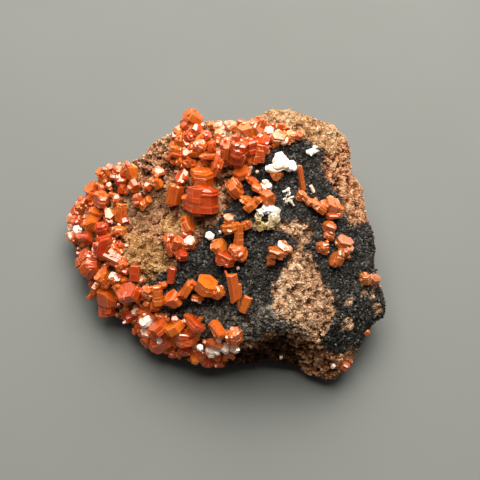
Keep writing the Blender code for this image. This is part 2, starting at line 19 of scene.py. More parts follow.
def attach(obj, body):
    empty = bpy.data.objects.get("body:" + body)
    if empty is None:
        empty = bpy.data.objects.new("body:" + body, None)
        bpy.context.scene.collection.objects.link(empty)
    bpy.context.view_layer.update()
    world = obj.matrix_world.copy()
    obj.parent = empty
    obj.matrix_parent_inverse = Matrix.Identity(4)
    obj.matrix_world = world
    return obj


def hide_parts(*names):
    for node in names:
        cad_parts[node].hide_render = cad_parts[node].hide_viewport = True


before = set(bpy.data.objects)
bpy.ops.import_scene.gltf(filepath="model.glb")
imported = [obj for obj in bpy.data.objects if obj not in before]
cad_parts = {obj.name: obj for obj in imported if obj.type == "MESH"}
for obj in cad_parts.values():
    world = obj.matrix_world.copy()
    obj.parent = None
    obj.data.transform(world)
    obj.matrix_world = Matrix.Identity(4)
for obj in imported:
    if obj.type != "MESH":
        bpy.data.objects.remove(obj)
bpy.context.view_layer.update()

bl_info = {
    "name": "Vanadinite Specimen",
    "version": (1, 0, 0),
    "blender": (4, 5, 0),
    "location": "3D View > Sidebar > Specimen",
    "description": "Dresses a lump of rock with crystals, crumbs and pale blades, and sets its stage",
    "category": "Object",
}

MM = 0.001
BODY = "root"

# How far the card lies below the specimen
CARD_GAP = 0.05 * MM

# What darkens the card in its clouds, and the way to the middle of the glow in the sky
CARD_TINT = (0.96, 0.96, 0.96)
SKY_WAY = (0, 0.94, 0.34)

# The photograph's view of the specimen
PIXEL = 0.2 * MM
PHOTO_PIXELS = 480
PHOTO_MIDDLE = PHOTO_PIXELS / 2
VIEW_ELEVATION = radians(65)
VIEW_DISTANCE = 280 * MM
LOOK_AT = Vector((3 * MM, 2 * MM, 10 * MM))
SENSOR_WIDTH = 36

RIGHT = Vector((1, 0, 0))
UP = Vector((0, sin(VIEW_ELEVATION), cos(VIEW_ELEVATION)))
TOWARDS = Vector((0, -cos(VIEW_ELEVATION), sin(VIEW_ELEVATION)))
EYE = LOOK_AT + VIEW_DISTANCE * TOWARDS

# Coatings of the rock's face, as outlines and, for the cream, spots with their radii, all in pixels
CRUST_OUTLINES = (
    (
        (262, 156), (272, 148), (285, 141), (303, 138), (313, 143), (322, 150), (326, 160), (324, 180),
        (334, 184), (341, 198), (346, 215), (350, 226), (366, 222), (380, 222), (388, 245), (386, 266),
        (391, 280), (392, 296), (388, 312), (376, 330), (363, 346), (350, 353), (336, 354), (318, 347),
        (308, 336), (300, 331), (290, 329), (280, 331), (270, 337), (262, 341), (250, 343), (238, 347),
        (222, 349), (205, 347), (190, 340), (180, 330), (172, 318), (160, 305), (150, 292), (150, 280),
        (160, 273), (172, 268), (188, 255), (205, 232), (222, 215), (231, 195), (246, 172), (255, 163),
    ),
)
PINK_OUTLINES = (
    (
        (272, 224), (285, 220), (298, 222), (310, 221), (316, 232), (312, 240), (306, 248), (312, 256),
        (318, 268), (322, 284), (331, 290), (335, 305), (332, 318), (326, 326), (323, 338), (318, 347),
        (310, 340), (303, 334), (296, 326), (291, 318), (284, 312), (276, 307), (270, 298), (277, 287),
        (283, 275), (285, 263), (293, 254), (300, 246), (296, 238), (284, 233),
    ),
)
UPPER_RIGHT_OUTLINE = (
    (244, 122), (258, 108), (290, 104), (320, 106), (338, 118), (344, 136), (338, 150), (326, 154),
    (314, 143), (303, 137), (286, 136), (262, 130),
)
STRAW_OUTLINES = (
    UPPER_RIGHT_OUTLINE,
    ((204, 128), (214, 118), (230, 116), (242, 122), (240, 134), (226, 142), (212, 139)),
    ((58, 248), (60, 228), (68, 208), (80, 198), (84, 206), (76, 216), (74, 232), (72, 246)),
    # Partly painted light: the upper-left rim is paler where light catches it
    ((126, 164), (146, 152), (162, 140), (173, 128), (180, 136), (172, 150), (154, 160), (134, 170)),
)
OCHRE_OUTLINES = (
    (
        (125, 235), (140, 231), (155, 238), (167, 248), (174, 262), (171, 273), (160, 284), (151, 295),
        (140, 287), (133, 275), (127, 262), (122, 248),
    ),
    ((168, 211), (180, 212), (188, 222), (185, 234), (176, 238), (166, 236), (159, 228), (160, 218)),
    UPPER_RIGHT_OUTLINE,
)
UMBER_OUTLINES = (
    ((98, 184), (118, 186), (140, 193), (142, 203), (126, 203), (108, 197), (98, 191)),
    (
        (126, 203), (146, 192), (165, 190), (186, 196), (214, 206), (226, 206), (222, 216), (206, 234),
        (192, 228), (172, 208), (158, 216), (156, 232), (140, 230), (126, 224),
    ),
)
CREAM_SPOTS = (
    (350, 302, 2), (345, 322, 3), (364, 292, 2), (371, 297, 2), (378, 304, 3), (371, 286, 3), (262, 152, 3),
    (343, 214, 3), (385, 292, 2), (381, 310, 2), (339, 319, 1), (388, 303, 2), (349, 326, 2), (308, 384, 3),
    (330, 370, 2), (255, 228, 2), (251, 224, 2),
)
CREAM_OUTLINES = (
    (
        (270, 290), (276, 280), (288, 276), (292, 292), (294, 306), (304, 320), (306, 334), (294, 328),
        (282, 316), (272, 308),
    ),
    ((316, 348), (320, 326), (331, 306), (335, 306), (328, 328), (320, 350)),
    (
        (276, 116), (290, 103), (318, 104), (338, 116), (345, 140), (336, 138), (326, 120), (304, 114),
        (286, 122),
    ),
)
# Painted shade: a dark coating laid under the lip and in the crease between the upper-left rows of crystals,
# where shade falls
PAINTED_SHADE_OUTLINES = (
    (
        (222, 352), (240, 348), (262, 344), (280, 335), (286, 333), (290, 340), (296, 352), (300, 366),
        (296, 372), (284, 372), (262, 372), (236, 372),
    ),
    ((99, 187), (108, 183), (120, 184), (127, 189), (122, 195), (110, 195), (101, 193)),
)
# Lighter grey on the crust's low plate: partly dust, partly painted sheen where the plate faces the light
DUST_AND_SHEEN_OUTLINES = (
    (
        (186, 304), (212, 298), (236, 303), (262, 300), (285, 312), (300, 320), (300, 331), (280, 331),
        (262, 341), (238, 347), (205, 347), (186, 335),
    ),
)
BLUSH_OUTLINES = (
    (
        (288, 250), (300, 246), (312, 256), (318, 268), (322, 284), (331, 290), (336, 303), (334, 316),
        (326, 322), (316, 318), (310, 305), (312, 290), (304, 272), (292, 262),
    ),
    ((326, 352), (338, 352), (350, 354), (352, 366), (340, 374), (328, 370)),
)

# A coating's edge fades over this many pixels to each side
EDGE_WIDTH = 2.2

# Noise that bends the coatings' edges: its lengths, and how far it moves an edge, in pixels
EDGE_WANDER = ((3.2 * MM, 5), (1.1 * MM, 4), (0.45 * MM, 2))

# How far a face turns towards the camera, as a cosine, where its coatings start and where they are full
FACE_TURN = (-0.25, 0.05)

# Patches of noise: their length, their offset, and the values where they start and where they are full
STRAW_PATCHES = (0.9 * MM, 15.0, -0.3, 0.3)
DUST_AND_SHEEN_PATCHES = (0.9 * MM, 9.0, -0.4, 0.6)
CREAM_PATCHES = (0.7 * MM, 21.0, -0.3, 0.2)
BLUSH_PATCHES = (1.3 * MM, 5.0, -0.25, 0.45)
REDDER_PATCHES = (0.8 * MM, 27.0, -0.5, 0.2)
PIT_PATCHES = (1.1 * MM, 7.0, 0.02, 0.35)

# The coatings as they lie on one another, and how light each is below its tips and in its pits; their dark
# pits and light tips are partly painted shade and painted light
COATING_LEVELS = {
    "umber": (0.5, 0.1),
    "ochre": (0.5, 0.12),
    "pink": (0.4, 0.06),
    "wall": (0.35, 0.1),
    "crust": (0.28, 0.06),
    "dust": (0.5, 0.1),
    "cream": (0.7, 0.2),
}
GREY_COATINGS = ("crust", "dust")

# What turns a coating warmer below its tips, or leaves it grey there, and warmer still in its pits
BODY_TINT = (1.12, 0.86, 0.68)
GREY_TINT = (0.97, 0.98, 0.97)
PIT_TINT = (1.5, 0.64, 0.32)

# What turns the tips of some black grains greyer
CRUST_TINT = (1.6, 1.5, 1.4)

# Lengths of the lumps and grains of the brown rock and of the black crust
LUMP_LENGTH = 1.7 * MM
GRAIN_LENGTH = 0.75 * MM
SOOT_LUMP_LENGTH = 1.3 * MM
SOOT_GRAIN_LENGTH = 0.5 * MM

# Heights above the table between which the relief fades in, and between which the crumbs do
SKIN_FADE = (0.2 * MM, 1.5 * MM)
CRUMB_FADE = (0.6 * MM, 1.6 * MM)

# A crumb before it is stretched: its corners and faces
CRUMB_CORNERS = ((1, 0, 0), (-1, 0, 0), (0, 1, 0), (0, -1, 0), (0, 0, 1), (0, 0, -1))
CRUMB_FACES = ((0, 2, 4), (2, 1, 4), (1, 3, 4), (3, 0, 4), (2, 0, 5), (1, 2, 5), (3, 1, 5), (0, 3, 5))

# The least and greatest sizes of crumbs
BROWN_SIZES = (0.24 * MM, 0.8 * MM)
FINE_SIZES = (0.18 * MM, 0.45 * MM)
SOOT_SIZES = (0.22 * MM, 0.65 * MM)

# Fields in which small crystals grow between the placed ones
DRUSE_FIELDS = {
    "left_druse": (
        (66, 240), (65, 226), (71, 212), (83, 200), (92, 188), (100, 172), (114, 163), (130, 165),
        (138, 180), (128, 192), (118, 205), (126, 215), (122, 235), (124, 252), (128, 268), (140, 276),
        (150, 290), (178, 296), (176, 306), (150, 310), (140, 322), (122, 318), (106, 312), (95, 298),
        (88, 280), (80, 266),
    ),
    "lower_druse": (
        (126, 312), (150, 308), (170, 318), (200, 316), (205, 328), (198, 342), (215, 340), (238, 346),
        (236, 356), (222, 364), (200, 364), (180, 358), (160, 351), (146, 344), (135, 332),
    ),
    "ridge_druse": (
        (170, 162), (168, 148), (176, 130), (187, 118), (198, 116), (206, 130), (214, 141), (238, 138),
        (248, 119), (270, 123), (298, 131), (300, 142), (282, 146), (263, 160), (244, 166), (228, 166),
        (206, 168), (186, 170),
    ),
}


class Crystal(NamedTuple):
    """A crystal: its middle in the photograph, its width across corners and its length in millimetres.

    Turn and facing are the way its long axis points, in degrees: turn round the photograph from the right,
    anticlockwise, and facing out of it. Proud is how much further than others it stands off the rock, in
    millimetres. Tone goes from -1, frosted pale, through 0, orange, to 1, deep red, or is drawn at random.
    The pale film partly paints white highlights, and the deep red of crystals in shade is partly painted
    shade.
    """

    x: float
    y: float
    width: float
    length: float
    turn: float
    facing: float
    proud: float = 0
    tone: float | None = None


RIDGE_CRYSTALS = (
    (193, 120, 3.8, 3.0, 150, 30, 0.3, 0.05), (186, 127, 2.4, 1.8, 120, 30), (181, 140, 2.6, 1.8, 150, 40),
    (179, 131, 2.2, 1.4, 60, 55), (197, 131, 2.6, 1.8, 20, 45), (189, 137, 2.4, 1.6, 100, 20),
    (175, 152, 2.8, 2.0, 170, 25), (174, 145, 2.2, 0.8, 10, 20), (187, 154, 2.4, 1.6, 85, 62),
    (194, 153, 2.0, 1.4, 80, 58), (200, 146, 2.8, 2.2, 60, 45), (188, 162, 2.4, 1.6, 130, 30),
    (180, 161, 2.0, 1.4, 30, 40), (209, 156, 3.4, 1.0, 88, 15, 0.4), (213, 147, 2.6, 1.0, 5, 20, 0.4),
    (217, 166, 5.0, 1.8, 162, 10, 0.4, 0.5), (206, 136, 2.8, 1.4, 75, 30),
    (221, 135, 2.6, 1.8, 110, 35, 0, -0.35), (227, 152, 3.4, 3.6, 95, 35, 0.8, 0.35),
    (239, 153, 4.2, 4.2, 82, 28, 1, 0.65), (231, 127, 2.6, 1.6, 85, 50, 0, -0.1),
    (249, 132, 4.0, 3.0, 115, 38, 0.6, -0.1), (250, 147, 3.2, 2.4, 100, 20, 0.4, 0.7),
    (259, 126, 3.0, 2.4, 85, 25), (263, 143, 3.4, 2.4, 70, 30, 0.4, 0.5),
    (260, 154, 2.4, 3.4, 78, 14, 0.6, 0.5), (269, 132, 2.0, 1.4, 85, 60),
    (278, 137, 3.6, 1.6, 78, 50, 0.3, -0.25), (290, 137, 2.6, 1.8, 100, 45, 0, -0.15),
    (298, 136, 2.0, 1.4, 60, 30), (241, 123, 2.2, 1.2, 80, 20), (216, 127, 3.6, 1.8, 95, 35, 0, -0.15),
    (202, 178, 5.2, 2.6, 88, 25, 1, 0.22), (203, 200, 5.8, 4.6, 86, 12, 0.8, 0.7),
    (182, 177, 3.4, 1.2, 140, 30, 0.2), (175, 194, 3.0, 4.0, 75, 20, 0.3), (189, 199, 3.2, 2.4, 120, 40),
    (197, 209, 3.0, 2.2, -90, 30, 0, 0.9),
)
HOLLOW_CRYSTALS = (
    (189, 226, 3.4, 1.4, 30, 25, 0.2), (170, 240, 2.6, 2.0, 150, 40, 0, 0.5),
    (180, 244, 3.2, 2.2, 80, 35, 0.2, 0.4), (190, 243, 2.4, 1.8, 80, 60, 0.2),
    (183, 255, 2.8, 1.8, -70, 30, 0, 0.9), (173, 249, 2.6, 1.8, 200, 30), (186, 235, 2.4, 1.6, 85, 58, 0.2),
    (148, 187, 2.0, 1.4, 100, 58), (153, 182, 1.8, 1.2, 80, 50), (159, 184, 2.4, 1.6, 20, 35),
    (139, 202, 3.4, 1.0, 10, 15, 0.2), (148, 201, 2.0, 1.4, 50, 40), (143, 206, 2.0, 1.4, 60, 30),
    (159, 172, 2.4, 0.9, 88, 64), (172, 275, 1.9, 3.2, 80, 20),
)
LEFT_CRYSTALS = (
    (101, 174, 2.8, 2.4, 120, 35, 0.3), (110, 169, 2.0, 1.4, 90, 50), (119, 171, 2.6, 2.0, 70, 45, 0, 0.1),
    (131, 172, 3.2, 2.4, 60, 30, 0.2, 0.12), (122, 181, 2.8, 2.0, 85, 58, 0.3),
    (134, 186, 2.6, 1.8, -60, 35), (100, 185, 2.0, 1.2, 80, 55), (93, 189, 3.0, 2.0, 130, 35, 0.3),
    (92, 197, 2.6, 1.8, 160, 30, 0.3), (103, 200, 4.0, 2.6, 80, 30, 0.6, 0.35),
    (117, 199, 2.2, 1.6, 85, 60, 0.4), (121, 212, 2.8, 3.4, 85, 15, 0.4, 0.15),
    (110, 215, 2.4, 1.6, 85, 62, 0.4), (83, 205, 3.2, 2.2, 130, 40), (76, 212, 2.4, 1.6, 160, 35),
    (94, 213, 3.4, 2.2, 60, 35, 0.6), (92, 224, 3.6, 2.6, -80, 40, 0.6), (79, 221, 2.8, 1.8, 140, 40),
    (71, 219, 2.2, 1.4, 170, 30, 0, -0.4), (69, 227, 2.2, 1.4, 190, 40, 0, -0.4),
    (78, 230, 2.4, 1.4, 88, 62, 0, -0.5), (68, 236, 2.4, 1.6, 200, 30, 0, -0.3),
    (77, 238, 2.4, 1.4, -80, 40), (103, 228, 3.0, 2.0, 100, 30, 0.3, 0.85),
    (105, 246, 4.0, 2.4, -60, 65, 0.3, 0.95), (120, 231, 2.9, 1.5, 88, 20, 0.2, 0.1),
    (88, 239, 3.2, 1.8, -100, 30, 0, 0.9), (87, 256, 3.2, 2.2, 150, 40, 0.1),
    (96, 254, 2.8, 1.8, 80, 58, 0.3), (92, 267, 4.4, 3.0, -100, 45, 0.2), (82, 262, 3.0, 2.0, 180, 30),
    (118, 261, 2.4, 3.8, -32, 14, 0.3), (116, 248, 2.2, 0.8, 40, 30, 0.2), (122, 265, 2.6, 1.8, -60, 40),
    (106, 277, 3.8, 2.8, 130, 35, 0.4), (115, 279, 2.4, 1.6, 85, 60, 0.6),
    (119, 287, 2.4, 1.4, -50, 40, 0.2), (135, 273, 2.2, 3.0, 85, 15, 0, 0.6),
    (97, 289, 4.0, 1.2, -28, 12, 0.2), (108, 297, 4.2, 2.8, 95, 25, 0.3), (109, 307, 4.2, 3.2, 92, 12),
    (129, 293, 5.0, 2.0, 140, 40, 0.6), (147, 292, 2.6, 1.8, 70, 40), (158, 295, 2.4, 4.0, 95, 20, 0.1),
    (164, 285, 1.6, 1.2, 60, 50), (174, 299, 3.6, 2.4, 135, 30, 0.2, 0.15),
    (186, 289, 4.0, 1.3, 150, 15, 0.2, 0.2),
)
# The deepest red tones of the lowest crystals, which lie in shade, are partly painted shade
LOWER_CRYSTALS = (
    (129, 316, 2.8, 2.0, 200, 20, 0, 0.95), (136, 311, 2.0, 1.0, 85, 55, 0.4, -0.5),
    (143, 313, 2.6, 1.6, 120, 30), (147, 320, 3.0, 1.6, 88, 64, 0.3, -0.6),
    (147, 331, 2.4, 1.4, 85, 60, 0.2, -0.5), (159, 326, 4.8, 1.8, 132, 20, 0.4),
    (174, 327, 4.6, 1.6, 122, 15, 0.2), (195, 323, 4.6, 1.4, 50, 15), (185, 338, 4.5, 2.4, 92, 20, 0.2),
    (159, 345, 3.4, 2.4, -80, 45, 0.2, 0.6), (147, 340, 2.8, 1.8, -120, 30, 0, 0.7),
    (168, 341, 2.6, 1.6, 60, 30), (185, 350, 2.8, 2.0, -90, 20, 0, 0.95),
    (172, 353, 1.8, 1.6, -90, 20, 0, 0.8), (199, 355, 2.8, 2.0, -60, 40),
    (207, 361, 2.6, 2.0, -100, 35, 0, 0.6), (211, 350, 2.4, 1.6, 85, 60, 0.2, -0.7),
    (219, 362, 2.4, 1.6, -90, 20, 0, 0.9), (142, 326, 2.6, 1.6, 170, 20, 0, 0.6),
    (218, 330, 2.6, 4.0, -50, 36, 0.1, 0.2), (235, 336, 3.6, 2.4, 100, 35, 0.2, 0.2),
    (225, 348, 2.0, 1.4, 85, 60, 0.3, -0.7), (235, 349, 2.0, 1.0, 85, 50, 0.3, -0.7),
    (229, 353, 2.2, 1.4, -80, 30),
)
CRUST_CRYSTALS = (
    (206, 286, 4.6, 2.4, 65, 35, 0.3, 0.1), (218, 292, 3.2, 2.2, 35, 30, 0.1, 0.15),
    (198, 297, 2.6, 0.8, 85, 20), (234, 288, 2.4, 5.4, 99, 12, 0.2, 0.2),
    (245, 304, 1.8, 3.3, 68, 12, 0, 0.1), (210, 236, 1.8, 0.9, 88, 64, 0, -0.9),
    (229, 220, 2.4, 1.8, 90, 50), (231, 228, 4.0, 1.5, 100, 15, 0.3), (246, 225, 2.8, 1.3, 115, 15, 0.2),
    (239, 236, 2.1, 4.8, 88, 12, 0.3), (220, 246, 3.4, 1.9, 20, 30), (236, 249, 3.0, 1.5, 80, 35, 0.5),
    (241, 254, 3.6, 1.8, 120, 25, 0.3), (226, 258, 4.4, 1.9, 70, 25, 0.1),
    (242, 173, 3.6, 1.4, 115, 48, 0.2, 0.3), (235, 189, 4.4, 1.9, 35, 20, 0.3),
    (247, 200, 3.0, 1.0, 70, 20, 0.3), (252, 181, 2.8, 1.0, 60, 25, 0.3), (257, 188, 2.8, 1.0, 80, 30, 0.3),
    (266, 187, 2.6, 1.4, 85, 60, 0.4, -0.6), (267, 199, 3.0, 2.4, -40, 45, 0.2),
    (253, 204, 3.8, 1.2, 130, 15, 0.2), (280, 161, 3.9, 1.4, 88, 64, 0.7, -1),
    (289, 166, 2.9, 1.0, 75, 60, 0.6, -1), (273, 169, 2.8, 1.0, 95, 60, 0.4, -0.8),
    (276, 175, 2.6, 1.6, -60, 50, 0.1, 0.1), (301, 178, 1.3, 5.0, 100, 12, 0.3, 0.3),
    (301, 196, 2.6, 1.6, 60, 35, 0.1), (309, 201, 2.8, 1.2, 50, 30, 0.2), (319, 207, 3.8, 1.4, 50, 15, 0.3),
    (332, 205, 3.8, 2.0, 60, 44, 0.4, 0.1), (333, 216, 3.4, 1.0, 88, 20, 0.2),
    (329, 227, 2.9, 1.8, 70, 35, 0.1), (329, 236, 2.4, 1.0, 60, 25), (322, 247, 2.6, 1.8, 95, 30),
    (344, 243, 3.6, 1.6, 70, 40, 0.1), (344, 253, 2.6, 1.6, -60, 30), (335, 260, 3.6, 1.5, 150, 35),
    (283, 247, 2.8, 1.4, 70, 58, 0.2), (277, 252, 4.0, 1.3, 80, 20, 0.2), (271, 261, 2.4, 1.2, 175, 20),
    (365, 279, 2.6, 1.8, 100, 30), (374, 279, 2.6, 1.6, 60, 40), (370, 334, 1.6, 1.0, 60, 30, 0, 0.5),
    (345, 365, 2.0, 1.4, 60, 40, 0, 0.9),
)
PALE_BLADE = ((309, 154, 2.6, 0.9, 120, 55, 0, -1), (313, 149, 1.9, 0.8, 130, 45, 0, -0.6))
PALE_RING = (
    (262, 212, 1.8, 1.0, 100, 50, 0, -0.8), (269, 210, 2.0, 1.0, 80, 55, 0, -1),
    (275, 214, 1.7, 1.0, 40, 50, 0, -0.5), (275, 221, 1.8, 1.0, -30, 45, 0, 0.4),
    (268, 226, 1.6, 1.0, -80, 45, 0, 0.6), (259, 225, 1.9, 1.0, -140, 45, 0, 1),
    (258, 218, 1.6, 1.0, 170, 45, 0, 0.7),
)
PALE_FAN = (
    (288, 192, 2.0, 0.6, 20, 20, 0, -0.7), (288, 198, 1.8, 0.6, -30, 25, 0, -0.3),
    (289, 203, 1.8, 0.6, 60, 40, 0, 0.1),
)
# Small chips set to mirror the main light, most under the pale film that paints them white: painted
# highlights
CHIPS = (
    (238, 268, 0.9, 0.6, 85, 60, 0, -0.9), (220, 232, 0.8, 0.6, 85, 60, 0, -0.9),
    (251, 168, 0.9, 0.6, 85, 60, 0, -0.9), (219, 341, 1.3, 0.8, 85, 60, 0, -0.9),
    (281, 357, 0.8, 0.6, 85, 60, 0, -0.9), (312, 189, 0.9, 1.6, 115, 20, 0, -1),
    (257, 172, 0.7, 0.5, 85, 60, 0, -0.9), (127, 246, 0.9, 0.6, 85, 60),
    (200, 302, 0.7, 0.5, 85, 60, 0, -0.9), (333, 366, 1.0, 0.8, 60, 50, 0, -0.9),
    (350, 361, 1.1, 0.8, 20, 50, 0, 0.9), (200, 347, 1.6, 0.8, 88, 64, 1.4, -1),
    (217, 351, 1.5, 0.8, 88, 64, 1.4, -1), (160, 340, 1.5, 0.8, 88, 64, 1.6, -0.9),
    (135, 297, 1.4, 0.8, 88, 64, 1.8, -0.9),
)
PLACED_CRYSTALS = RIDGE_CRYSTALS + HOLLOW_CRYSTALS + LEFT_CRYSTALS + LOWER_CRYSTALS + CRUST_CRYSTALS

# How a crystal is seated on the rock, as in the solids: lengths are shares, apart from the gap
ROCK_MIDDLE = (235, 240)
CONTACT_GAP = 0.3 * MM
SEAT_STEPS = 50
FOOTPRINT_RINGS = 3
FOOTPRINT_SPOKES = 10
FOOTPRINT_SHARE = 0.6
PROBE_RISE = 2
PROBE_DEPTH = 4
SEAT_SHARE = 0.35
LEAST_SLOPE = 0.4

# How far a crystal is spun round its axis for each pixel of its place, in degrees
SPIN_STEP = 37

# Below this row of pixels, crystals are stained browner towards the photograph's right and its front
RUST_LEAST_Y = 165
RUST_FROM_X = 190
RUST_TO_X = 300
RUST_FROM_Y = 205
RUST_TO_Y = 240
# How far up from the rock a crystal's foot is darkened: painted shade, with some stain
FOOT_SHADE_REACH = 1.1 * MM

# The material of every crystal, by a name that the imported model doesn't use
CRYSTAL_MATERIAL = "resinous_vanadinite"

# Where the random numbers of the crumbs and of each kind of crystal start
CRUMB_SEED = 11
PLACED_SEED = 11
DRUSE_SEED = 19
BLADE_SEED = 5

# Crystals at least this wide, in millimetres, have others grown into their sides
LEAST_PARENT_WIDTH = 2.3

# The pale pieces: their blades, and how many plates each has, their corners, lean and least share of width
TUFTS = {
    "pale_blade": (PALE_BLADE, 2, 3, 0.15, 0.9),
    "pale_ring": (PALE_RING, 12, 5, 0.7, 0.5),
    "pale_fan": (PALE_FAN, 8, 4, 0.6, 0.6),
}

# A plate with this many corners is a narrow sliver
SLIVER_SIDES = 4

# Facets across a crystal's ends: their lean in degrees, and where they start in shares of its half width
FACET_LEAN = (14, 48)
FACET_REACH = (0.1, 0.75)

# Points this near to a facet's plane lie on it
CUT_NEAR = 1e-8

# A crystal at least this wide, in millimetres, has whole ends
WHOLE_WIDTH = 4.4

# How far painted light shows in from a crystal's edges, and how near to them it is full
EDGE_GLOW = 0.13 * MM
EDGE_LINE = 0.02 * MM

# A face that is narrower than this from its middle is all edge
LEAST_SPLIT_DEPTH = 0.06 * MM

# The shares of small crystals whose flat end or side mirrors the main light, and how exactly, in degrees
FLASH_SHARE = 0.015
LYING_SHARE = 0.15
FLASH_SPREAD = 4

# Least and greatest widths of small crystals, in millimetres, and their lengths in shares of their widths
SMALL_WIDTHS = (0.9, 2.0)
SMALL_LENGTHS = (0.45, 0.9)

# An axis this near to the way that mirrors the light takes it, and one this near to square with it is square
MIRROR_NEAR = 0.995
MIRROR_REACH = 0.1


def colour_setting(name, description, default):
    """A setting that holds a colour."""
    return FloatVectorProperty(name=name, description=description, subtype="COLOR", default=default)


def length_setting(name, description, default):
    """A setting that holds a length in metres."""
    return FloatProperty(name=name, description=description, unit="LENGTH", default=default)


def power_setting(name, description, default):
    """A setting that holds a power in watts."""
    return FloatProperty(name=name, description=description, unit="POWER", default=default)


def angle_setting(name, description, default):
    """A setting that holds an angle, with its default given in degrees."""
    return FloatProperty(name=name, description=description, subtype="ANGLE", default=radians(default))


def strength_setting(name, description, default):
    """A setting that holds a plain number."""
    return FloatProperty(name=name, description=description, default=default)


def count_setting(name, description, default):
    """A setting that holds a whole number."""
    return IntProperty(name=name, description=description, default=default)


class StageSettings(bpy.types.PropertyGroup):
    """The floor, the light and the sky."""

    floor_colour: colour_setting("Floor Colour", "Colour of the pale card", (0.112, 0.122, 0.122))
    floor_radius: length_setting("Floor Radius", "Half the card's width", 1.6)
    key_power: power_setting("Key Power", "Power of the main light", 3.6)
    key_size: length_setting("Key Size", "Width of the main light", 0.34)
    key_elevation: angle_setting("Key Elevation", "Height of the main light above the card", 68)
    key_azimuth: angle_setting("Key Azimuth", "Turn of the main light to the right of the back", 8)
    fill_power: power_setting("Fill Power", "Power of the broad light", 1.2)
    fill_size: length_setting("Fill Size", "Width of the broad light", 0.3)
    fill_elevation: angle_setting("Fill Elevation", "Height of the broad light above the card", 43)
    fill_azimuth: angle_setting("Fill Azimuth", "Turn of the broad light to the right of the back", 10)
    light_colour: colour_setting("Light Colour", "Colour of both lights", (1.0, 0.92, 0.82))
    light_distance: length_setting("Light Distance", "From the specimen to both lights", 0.36)
    sky_colour: colour_setting("Sky Colour", "Colour of the soft light from all round", (1.0, 0.95, 0.88))
    sky_behind: strength_setting("Sky Behind", "Strength of the soft light from the back", 2.6)
    sky_before: strength_setting("Sky Before", "Strength of the soft light from the front", 0.14)


class RockSettings(bpy.types.PropertyGroup):
    """The rock's relief and the colours of its coatings, each from its pits to its tips."""

    voxel: length_setting("Voxel", "Width of the surface's cells", 0.31 * MM)
    crumbs: count_setting("Crumbs", "Loose-looking grains on the brown rock", 24000)
    fine_crumbs: count_setting("Fine Crumbs", "Finer grains where the rock is calm", 16000)
    soot: count_setting("Soot Grains", "Grains on the black crust", 20000)
    # Partly painted shade: the pits are darker than the rock's own brown
    pit_colour: colour_setting("Pit Colour", "Brown rock in its pits", (0.042, 0.01, 0.004))
    rock_colour: colour_setting("Rock Colour", "Brown rock between pits and tips", (0.28, 0.094, 0.039))
    pale_rock_colour: colour_setting("Pale Rock Colour", "Its lighter clouds", (0.38, 0.18, 0.08))
    tip_colour: colour_setting("Tip Colour", "Tan tips of the brown rock", (0.46, 0.35, 0.235))
    ochre_colour: colour_setting("Ochre Colour", "Tips of the ochre in the hollow", (0.55, 0.39, 0.19))
    pink_colour: colour_setting("Pink Colour", "Tips of the pinkish patch", (0.67, 0.52, 0.365))
    blush_colour: colour_setting("Blush Colour", "Redder tips of the brown rock", (0.403, 0.19, 0.095))
    blush_tint: colour_setting("Blush Tint", "What turns a coating's tips redder", (0.72, 0.44, 0.34))
    # Painted shade: the dark colour laid under the lip and in the upper-left crease
    wall_colour: colour_setting("Wall Colour", "Tips of the dark wall under the lip", (0.12, 0.062, 0.032))
    umber_colour: colour_setting("Umber Colour", "Tips of the darker brown", (0.41, 0.28, 0.165))
    # Partly painted sheen: the crust's low plate is lighter grey where it faces the light
    dust_colour: colour_setting("Dust Colour", "Dust on the crust's low part", (0.22, 0.195, 0.168))
    cream_colour: colour_setting("Cream Colour", "Tips of the cream crumbs", (0.57, 0.5, 0.37))
    crust_colour: colour_setting("Crust Colour", "Tips of the black crust", (0.044, 0.043, 0.04))
    # Painted glint: the lighter grey of random grains of the crust
    glint_colour: colour_setting("Glint Colour", "Grains of the crust that glint", (0.17, 0.17, 0.165))


class CrystalSettings(bpy.types.PropertyGroup):
    """The vanadinite's colours and shape, and how many small crystals grow between the placed ones."""

    amber: colour_setting("Amber", "The lightest crystals", (0.42, 0.1, 0.007))
    orange: colour_setting("Orange", "Most crystals", (0.38, 0.06, 0.005))
    # Painted light: the lighter colour near the crystals' edges
    glow: colour_setting("Glow", "Edges where light leaves a crystal", (0.56, 0.19, 0.055))
    red: colour_setting("Red", "The deepest crystals", (0.3, 0.02, 0.003))
    # Partly painted highlight: the pale film also paints white flashes on crystals set to mirror the light
    frost_and_flash: colour_setting("Frost", "Pale film on the frosted crystals", (0.6, 0.5, 0.43))
    # Also the painted shade, with some stain, at the crystals' feet near the rock
    rust: colour_setting("Rust", "Stained crystals and feet", (0.19, 0.066, 0.012))
    small: count_setting("Small Crystals", "Tries at seating a small crystal in a field", 420)
    bevel: length_setting("Bevel", "Width of the worn edges", 0.05 * MM)


class BladeSettings(bpy.types.PropertyGroup):
    """The pale barite blades."""

    cream: colour_setting("Cream", "Colour of the blades", (0.56, 0.51, 0.4))
    white: colour_setting("White", "Colour of the palest blades", (0.86, 0.84, 0.79))
    honey: colour_setting("Honey", "Colour of the stained blades", (0.52, 0.37, 0.13))
    # Partly painted shade: the blades darken at their feet near the rock, besides their stains and dirt
    soil_and_shade: colour_setting("Soil", "Dirt at the feet of the blades", (0.224, 0.157, 0.056))
    bevel: length_setting("Bevel", "Width of the worn edges", 0.05 * MM)


def on_sight_line(x, y, height):
    """The point of a photograph pixel's sight line that lies that height above the table."""
    aim = LOOK_AT + (x - PHOTO_MIDDLE) * PIXEL * RIGHT + (PHOTO_MIDDLE - y) * PIXEL * UP
    line = aim - EYE
    return EYE + line * ((height - EYE.z) / line.z)


